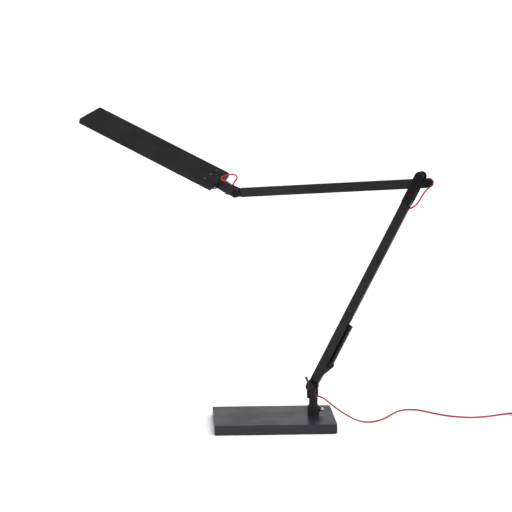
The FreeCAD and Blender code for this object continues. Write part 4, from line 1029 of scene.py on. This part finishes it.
@dataclass
class Post(Assembly):
    """Swivel post with its fork, pivot bolt, hex nut and clamp lever; sizes in millimetres."""

    face: float = 7.95
    nut: float = 4.7
    nut_thick: float = 4.4
    bore: float = 2.56

    def build(self) -> None:
        """Dresses the post's nodes and makes the pivot's nut."""
        self.dress(self.finish.post, "swivel_post", "pivot_fork", "clamp_hub")
        self.dress(self.finish.steel, "pivot_bolt", "clamp_handle")
        self.dress(self.finish.nylon, "pivot_washers")
        self.dress(self.finish.plastic, "cord_clamp")
        self.hex_nut()

    def hex_nut(self) -> Piece:
        """Chamfered hex nut behind the fork: a turned ring whose rim follows six flats.

        Returns:
            The piece.
        """
        place = self.stand.swivel().moved(self.stand.pivot_x, 0, self.stand.pivot_z)
        rear = place.facing((0, Side.REAR.value, 0))
        low, end, rim, bore = self.face, self.face + self.nut_thick, self.nut, self.bore
        rings = [(low, bore), (low, rim - 0.6, 0.2), (low + 0.35, rim, 1.0), (end - 0.35, rim, 1.0),
                 (end, rim - 0.6, 0.2), (end, bore + 0.19), (end - 0.3, bore), (low, bore)]
        piece = turned_piece("pivot_nut_hex", self.finish.steel, rings, rear, sides=72, caps=False)
        return seat(piece, "swivel", "dark_steel", "pivot_nut")


@dataclass
class Cables(Assembly):
    """The red cable where the arms and link carry it; routes in millimetres in the carrying frame."""

    radius: float = 1.4
    lower_route: Rows = (
        (5, 0, -8.2), (5, 0, 120), (5, 0, 240), (5, 0, 340), (5, 0, 355.4), (5, 0, 359.8), (8.4, 0, 362.7),
        (8.8, 0, 363),
    )
    elbow_route: Rows = (
        (8.8, 0, -43), (12.0, 0, -40.3), (15.2, -0.5, -35), (16.9, -1, -28.6), (17.7, -1.3, -20.5),
        (18.4, -1.2, -11.5), (19.1, -0.7, -4),
    )
    upper_route: Rows = (
        (22.0, 0, -7.25), (25.6, 0, -5.0), (28.5, 0, -3.2), (26.5, 0, 0.6), (22.8, 0, 0.0), (8.5, 0, -5),
        (-7.5, 0, -5), (-160, 0, -5), (-336.3, 0, -5),
    )
    head_route: Rows = (
        (-12.0, 0, 4.2), (-12.0, -0.4, 10.2), (-10.8, -1, 16.2), (-8.6, -1.8, 22.2), (-9, -2.6, 27),
        (-13.4, -3.4, 28.8), (-20, -4.6, 27), (-27, -6.4, 22.4), (-31.8, -8, 17.4), (-33.4, -9.2, 12.6),
        (-28.8, -7.8, 10.7), (-24.4, -5.2, 10.8), (-21.2, -2.8, 10.9), (-19.3, -1.5, 9),
        (-19.3, -1.5, 5.45),
    )
    elbow_run: float = 5.0
    elbow_slope: float = 32.0

    def build(self) -> None:
        """Makes the four stretches, the elbow's loop running between both arms."""
        lower, upper, head = self.stand.lower(), self.stand.upper(), self.stand.link().put(self.head_route)
        self.stretch("lower_cable_run", lower.put(self.lower_route), "lower_arm", "lower_cable")
        self.stretch("upper_cable_run", upper.put(self.upper_route), "upper_arm", "upper_cable")
        loop, line = self.stretch("head_cable_loop", head, "link", "head_cable")
        self.elbow_loop()

    def tube(self, name: str, route: Points) -> tuple[Piece, Points]:
        """A cable along a route's spline; no route follows the arms' cross axis.

        Args:
            name: the piece's name.
            route: control points in metres.

        Returns:
            The piece and its middle line.
        """
        line = spline_points(name, route)
        cross = self.stand.elbow().axes[:, 1]
        return cable_piece(name, self.finish.sheath, line, self.radius * MM, cross), line

    def stretch(self, name: str, route: Points, body: str, node: str) -> tuple[Piece, Points]:
        """One stretch of cable on a body, in place of a node, and its middle line."""
        piece, line = self.tube(name, route)
        return seat(piece, body, "red_cable", node), line

    def elbow_loop(self) -> None:
        """The loop from the lower arm's grommet to where the upper run starts, which it meets at a slope."""
        slope = math.radians(self.elbow_slope)
        end = np.array(self.upper_route[0], float)
        before = end - self.elbow_run * np.array([math.cos(slope), 0, math.sin(slope)])
        route = np.vstack([self.stand.elbow().put(self.elbow_route), self.stand.upper().put([before, end])])
        piece, line = self.tube("elbow_cable_loop", route)
        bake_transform(piece)
        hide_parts("elbow_cable")
        LOG.info("made %s between the arms", piece.name)


@dataclass
class SupplyCord(Assembly):
    """The free cord along the table, its put-away coil, the tie and the plug-in supply.

    Sizes are in millimetres, but the cord's whole length is in metres.
    """

    radius: float = 1.4
    coil_mid: float = 14.4
    coil_step: float = 3.3
    half_turns: int = 6
    layers: int = 4
    per_half: int = 8
    length: float = 1.808
    start: Numbers = (6.3, 0, 51.55)
    route: Rows = (
        (14, -7.2, 50.6), (23.5, -8.6, 43.5), (37.5, -7.4, 31.5), (54.5, -4.6, 19), (71.5, -2, 8.5),
        (88.5, 0.4, 2.4), (105.5, 6, 1.4), (121.5, 19, 1.4), (135.5, 40, 1.4), (147.5, 62.5, 1.4),
        (160.5, 83, 1.4), (179.5, 95, 1.4), (200.5, 87, 1.4), (216.5, 68.5, 1.4), (233.5, 49.5, 1.4),
        (256.5, 34, 1.4), (284.5, 27, 1.4), (313.5, 33, 1.4), (339.5, 47, 1.4), (363.5, 53, 2.35),
        (382.5, 53, 2.35),
    )
    relief: float = 22.0
    relief_tip: float = 1.8
    relief_root: float = 3.4
    relief_bore: float = 1.3
    relief_plain: float = 2.0
    ribs: int = 7
    rib_depth: float = 0.35
    tie_thick: float = 0.8
    tie_round: float = 1.6
    tie_hollow: float = 0.9

    def build(self) -> None:
        """Makes the cord, its boot and the tie, and dresses the supply."""
        self.dress(self.finish.case, "adapter_body", "adapter_cover")
        self.dress(self.finish.nickel, "adapter_pins")
        coil = self.coil()
        boot, strap = self.boot(coil[-1]), self.tie()
        free = self.stand.base().moved(self.stand.post_x, 0, 0).put(self.route)
        route = np.vstack([self.stand.swivel().put([self.start]), free, coil * MM])
        line = spline_points("supply_cord_line", route, resolution=6)
        piece = cable_piece("supply_cord_red", self.finish.sheath, line, self.radius * MM, (0, 0, 1), 12)
        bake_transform(piece)
        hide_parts("supply_cord", "cord_coil")
        LOG.info("made %s from the post to the supply", piece.name)

    def coil(self) -> Points:
        """Control points of the put-away coil.

        Each half turn is a half circle of radius R about a centre on the line through its ends, R changing by
        half a step from one to the next, inwards and outwards by layers, with a climb where it reverses. The
        control points stand off by 1 / cos(half their spacing) so that the smooth line has the radius R.

        Returns:
            Points in millimetres, from the cord's last free point to the boot.
        """
        here = np.array(self.route[-1]) + (self.stand.post_x + 2 * self.radius, 0, 0)
        radius = self.coil_mid + self.coil_step * self.half_turns / 4
        share = (np.arange(self.per_half) + 0.5) / self.per_half
        angle = share * math.pi
        inset = math.cos(math.pi / self.per_half / 2)
        found = [here[None, :]]
        side = -1
        for layer in range(self.layers):
            change = self.coil_step / 2 if layer % 2 else -self.coil_step / 2
            for turn in range(self.half_turns + 1):
                reverses = turn == self.half_turns and layer < self.layers - 1
                climb = self.coil_step if reverses else 0.0
                out = side * radius / inset
                lift = climb * share * share * (3 - 2 * share)
                found.append(np.column_stack([here[0] - out * np.sin(angle),
                                              here[1] + side * radius - out * np.cos(angle), here[2] + lift]))
                here = here + np.array([0, side * 2 * radius, climb])
                side = -side
                radius += -change if reverses else change
        found.append(here[None, :] + np.array([[0, 0, 0], [2 * self.radius, 0, 0]]))
        return np.vstack(found)

    def boot(self, end: Points) -> Piece:
        """Ribbed strain relief up to the supply: a cone whose radius steps in and out.

        Args:
            end: the coil's end, in millimetres.

        Returns:
            The piece.
        """
        place = self.stand.base().moved(*end).facing((1, 0, 0))
        height = np.linspace(0, self.relief, 65)
        radius = self.relief_tip + (self.relief_root - self.relief_tip) * height / self.relief
        groove = np.clip(np.sin(height / self.relief * TURN * self.ribs) * 3, 0, 1)
        groove[height > self.relief - self.relief_plain] = 0
        cone = zip(height, radius - self.rib_depth * groove)
        rings = [(0, self.relief_bore), *cone, (self.relief, self.relief_bore)]
        piece = turned_piece("adapter_boot_ribbed", self.finish.rubber, rings, place, sides=40)
        return seat(piece, "base", "dark_plastic", "adapter_relief")

    def tie(self) -> Piece:
        """Strap round the coil: a rounded band, its outline carried across the strap's width.

        Returns:
            The piece.
        """
        low, high = (np.array(corner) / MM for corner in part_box("cord_tie"))
        middle = (low + high) / 2
        half = (high - low) / 2
        outer = rounded_profile(half[0], half[2], self.tie_round, 7)
        inner = rounded_profile(half[0] - self.tie_thick, half[2] - self.tie_thick, self.tie_hollow, 7)
        width = np.array([-1, -1, 1, 1]) * half[1]
        rims = np.stack([inner, outer, outer, inner])
        across = np.broadcast_to(middle[1] + width[:, None], rims.shape[:2])
        rows = np.stack([middle[0] + rims[..., 0], across, middle[2] + rims[..., 1]], axis=-1)
        closed = np.concatenate([rows, rows[:1]])
        piece = Skin().grid(closed * MM, caps=False).piece("cord_tie_strap", self.finish.rubber)
        return seat(piece, "base", "rubber_pad", "cord_tie")


@dataclass
class Arms(Assembly):
    """Both arms, the elbow and the strip along the lower arm; sizes in millimetres."""

    outlet: Numbers = (8.0, 0, 362.2)
    # the grommet's profile, and the buffer's bars as left, right, front, rear, low and high
    grommet_rings: Rows = (
        (-1.1, 3.2), (0, 3.2), (0, 3.6), (0.25, 3.5), (0.5, 2.9), (0.6, 0.04),
    )
    bars: Rows = (
        (8.08, 8.7, 0.8, 3.7, 54.8, 129.8), (8.08, 11.9, -1.6, 3.7, 54.7, 57.0),
    )
    bar_round: float = 0.2

    def build(self) -> None:
        """Dresses the nodes of the two arms and makes the strip's buffer and the grommet."""
        self.dress(self.finish.arm, "arm_foot", "lower_arm_tube", "upper_arm_tube", "tilt_tongue")
        # painted shade: the elbow's yoke and end cap take the darker copy of the arm coat
        self.dress(self.finish.elbow, "elbow_yoke", "upper_end_cap")
        self.dress(self.finish.plastic, "strip_pin", "arm_strip")
        self.dress(self.finish.nylon, "elbow_washers", "elbow_bush")
        self.buffer()
        self.grommet()

    def buffer(self) -> Piece:
        """Soft buffer on the strip's edge towards the arm: round-edged bars carried along the arm.

        Returns:
            The piece.
        """
        skin = Skin()
        for left, right, front, rear, low, high in self.bars:
            outline = rounded_profile((right - left) / 2, (rear - front) / 2, self.bar_round, 4)
            outline += ((left + right) / 2, (front + rear) / 2)
            rows = [np.column_stack([outline, np.full(len(outline), z)]) for z in (low, high)]
            skin.grid(self.stand.lower().put(np.stack(rows)))
        return seat(skin.piece("strip_buffer", self.finish.soft), "arm_strip", "rubber_pad")

    def grommet(self) -> Piece:
        """Low domed grommet where the cable leaves the lower arm: a profile turned about x.

        Returns:
            The piece.
        """
        place = self.stand.lower().moved(*self.outlet).facing((1, 0, 0))
        piece = turned_piece("lower_grommet_domed", self.finish.soft, self.grommet_rings, place)
        return seat(piece, "lower_arm", "rubber_pad", "lower_grommet")


@dataclass
class Head(Assembly):
    """The link and the flat light head with its three buttons; sizes in millimetres."""

    button_x: float = -57.1
    button_pitch: float = 20.0
    button_radius: float = 2.4
    button_foot: float = 6.75
    button_top: float = 9.7
    button_flange: float = 3.3
    button_flange_thick: float = 0.8
    screw_spot: Numbers = (-34.8, -20.0, 1.6)
    screw_radius: float = 1.15
    screw_thick: float = 0.7
    screw_round: float = 0.5
    screw_key: float = 0.5
    screw_recess: float = 0.4

    def build(self) -> None:
        """Dresses the link's and head's nodes and makes the buttons and the flange's screw."""
        self.dress(self.finish.arm, "tilt_yoke", "roll_collar", "head_bracket")
        self.dress(self.finish.head, "head_shell")
        self.dress(self.finish.plastic, "head_near_cap", "head_far_cap", "head_cover")
        self.dress(self.finish.steel, "friction_screw", "bracket_screws")
        self.dress(self.finish.nylon, "tilt_washers")
        self.dress(self.finish.opal, "head_diffuser")
        self.dress(self.finish.lights, "led_board")
        self.dress(self.finish.circuit, "control_board")
        for row, name in ((-1, "button_front"), (0, "button_middle"), (1, "button_rear")):
            self.button(row, name)
        self.flange_screw()

    def flange_screw(self) -> Piece:
        """Small bright screw in the flange on the head's near end: a turned dome with a hex recess.

        Returns:
            The piece.
        """
        place = self.stand.head().moved(*self.screw_spot).facing((1, 0, 0))
        rim, top, key = self.screw_radius, self.screw_thick, self.screw_key
        floor = top - self.screw_recess
        rings = [(-0.3, rim - 0.1), (0, rim), *dome(0.0, top, rim, self.screw_round, 6),
                 (top - 0.05, key, 1.0), (floor, key, 1.0), (floor, 0.03)]
        piece = turned_piece("flange_screw_domed", self.finish.nickel, rings, place)
        return seat(piece, "head", "bright_steel")

    def button(self, row: int, name: str) -> Piece:
        """Push button with a dished top and a pale ring: a turned profile along the head's z axis.

        Args:
            row: -1, 0 or 1 from the front to the rear.
            name: its body and node.

        Returns:
            The piece.
        """
        at = self.stand.head().moved(self.button_x, row * self.button_pitch, 0)
        rim, top = self.button_radius, self.button_top
        dish = [(top - 0.12 * (1 - (r / (rim - 0.3)) ** 2), r) for r in np.linspace(rim - 0.3, 0.03, 6)]
        foot, flange = self.button_foot, self.button_flange
        step = foot + self.button_flange_thick
        rings = [(foot, flange - 0.1), (foot + 0.1, flange), (step, flange), (step, rim), (top - 0.25, rim),
                 (top - 0.07, rim - 0.08), *dish]
        material = MarkedCap(f"{name}_cap", tuple(at.put((0, 0, top - 0.1)))).build()
        piece = turned_piece(f"{name}_dished", material, rings, at)
        return seat(piece, name, "dark_plastic", name)


@dataclass
class Studio:
    """Plain pale floor, soft light and the photograph's camera.

    The eye and the sensor are in millimetres and other lengths in metres; the camera's angles are in radians
    and the suns' in degrees. A light is a name, an energy, an angle or a size, and a spot. The surroundings
    fade from white to dark between two sines of the height above the horizon.
    """

    eye: Numbers = (-174.7, -2886.3, 734.9)
    yaw: float = 0.05
    pitch: float = 0.1499
    roll: float = -0.0017
    focal_px: float = 1700.0
    image_px: float = 512.0
    sensor: float = 36.0
    far: float = 100.0
    floor_half: float = 120.0
    floor_drop: float = 0.0004
    target: Numbers = (0.0, 0.0, 0.25)
    suns: tuple = (("key_sun", 2.65, 55, (0.7, -0.7, 1.15)), ("top_sun", 1.45, 64, (0, 0, 1.2)))
    boxes: tuple = (("low_softbox", 1.4, 0.25, (-0.6, -0.35, 0.1)),
                    ("left_softbox", 0.8, 0.5, (-0.9, -0.5, 0.7)))
    fade: tuple = (("From Min", 0.4), ("From Max", 0.62), ("To Min", 1.05), ("To Max", 0.05))

    def build(self) -> None:
        """Makes the floor, lights, world and camera."""
        self.floor()
        self.world()
        self.lamps()
        self.camera()

    def floor(self) -> None:
        """Flat floor just under the lamp: a grid at one height."""
        across = np.linspace(-self.floor_half, self.floor_half, 13)
        x, y = np.meshgrid(across, across)
        grid = np.stack([x, y, np.full_like(x, -self.floor_drop)], axis=-1)
        paper = StudioFloor("floor_paper").build()
        Skin().grid(grid, wrap=False, caps=False).piece("studio_floor", paper)

    def world(self) -> None:
        """Even white surroundings low down, dark higher up."""
        world = bpy.data.worlds.new("studio_world")
        bpy.context.scene.world = world
        graph = Graph(world, "Generated")
        _, _, height = graph.axes(graph.place)
        ramp = graph.node("ShaderNodeMapRange", None, {"Value": height, **dict(self.fade)})
        sockets = {"Color": (1, 1, 1, 1), "Strength": Val(graph, ramp.outputs[0])}
        sky = graph.node("ShaderNodeBackground", None, sockets)
        graph.node("ShaderNodeOutputWorld", None, {"Surface": Val(graph, sky.outputs[0])})
        bpy.context.scene.view_settings.view_transform = "Standard"

    def lamps(self) -> None:
        """A soft key from the upper right front, soft light from above, two small softboxes at the left."""
        for name, energy, angle, spot in self.suns:
            sun = bpy.data.lights.new(name, "SUN")
            sun.energy = energy
            sun.angle = math.radians(angle)
            self.aim(sun, spot)
        for name, energy, size, spot in self.boxes:
            box = bpy.data.lights.new(name, "AREA")
            box.shape = "SQUARE"
            box.size = size
            box.energy = energy
            self.aim(box, spot)

    def aim(self, light: bpy.types.Light, spot: Numbers) -> None:
        """Stands a light at a spot, turned towards the lamp's middle.

        Args:
            light: the light.
            spot: where it stands, in metres.
        """
        holder = bpy.data.objects.new(light.name, light)
        bpy.context.scene.collection.objects.link(holder)
        turn = Attitude().base().facing(np.subtract(spot, self.target)).axes
        holder.matrix_world = Matrix.Translation(spot) @ Matrix(turn.tolist()).to_4x4()

    def camera(self) -> None:
        """The photograph's camera: looks along yaw and pitch, with a small roll."""
        lens = bpy.data.cameras.new("photo_camera")
        lens.sensor_fit = "HORIZONTAL"
        lens.sensor_width = self.sensor
        lens.lens = self.focal_px * self.sensor / self.image_px
        lens.clip_end = self.far
        east, north, level = math.sin(self.yaw), math.cos(self.yaw), math.cos(self.pitch)
        ahead = np.array([east * level, north * level, -math.sin(self.pitch)])
        right = np.array([north, -east, 0.0])
        up = np.cross(right, ahead)
        turn = Matrix(np.column_stack([right, up, -ahead]).tolist()) @ Matrix.Rotation(self.roll, 3, "Z")
        holder = bpy.data.objects.new("photo_camera", lens)
        bpy.context.scene.collection.objects.link(holder)
        holder.matrix_world = Matrix.Translation(np.array(self.eye) * MM) @ turn.to_4x4()
        bpy.context.scene.camera = holder


def corners(box: Any) -> list[list[float]]:
    """A box's two corners as plain lists."""
    return [[float(value) for value in corner] for corner in box]


def main() -> None:
    """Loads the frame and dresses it."""
    logging.basicConfig(level=logging.INFO, format="%(name)s: %(message)s")
    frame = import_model()
    stand = Attitude()
    finish = Finishes(stand)
    Studio().build()
    for kind in (SupplyCord, Cables, Base, Post, Arms, Fasteners, Head):
        kind(stand, finish, frame["nodes"]).build()


if __name__ == "__main__":
    main()
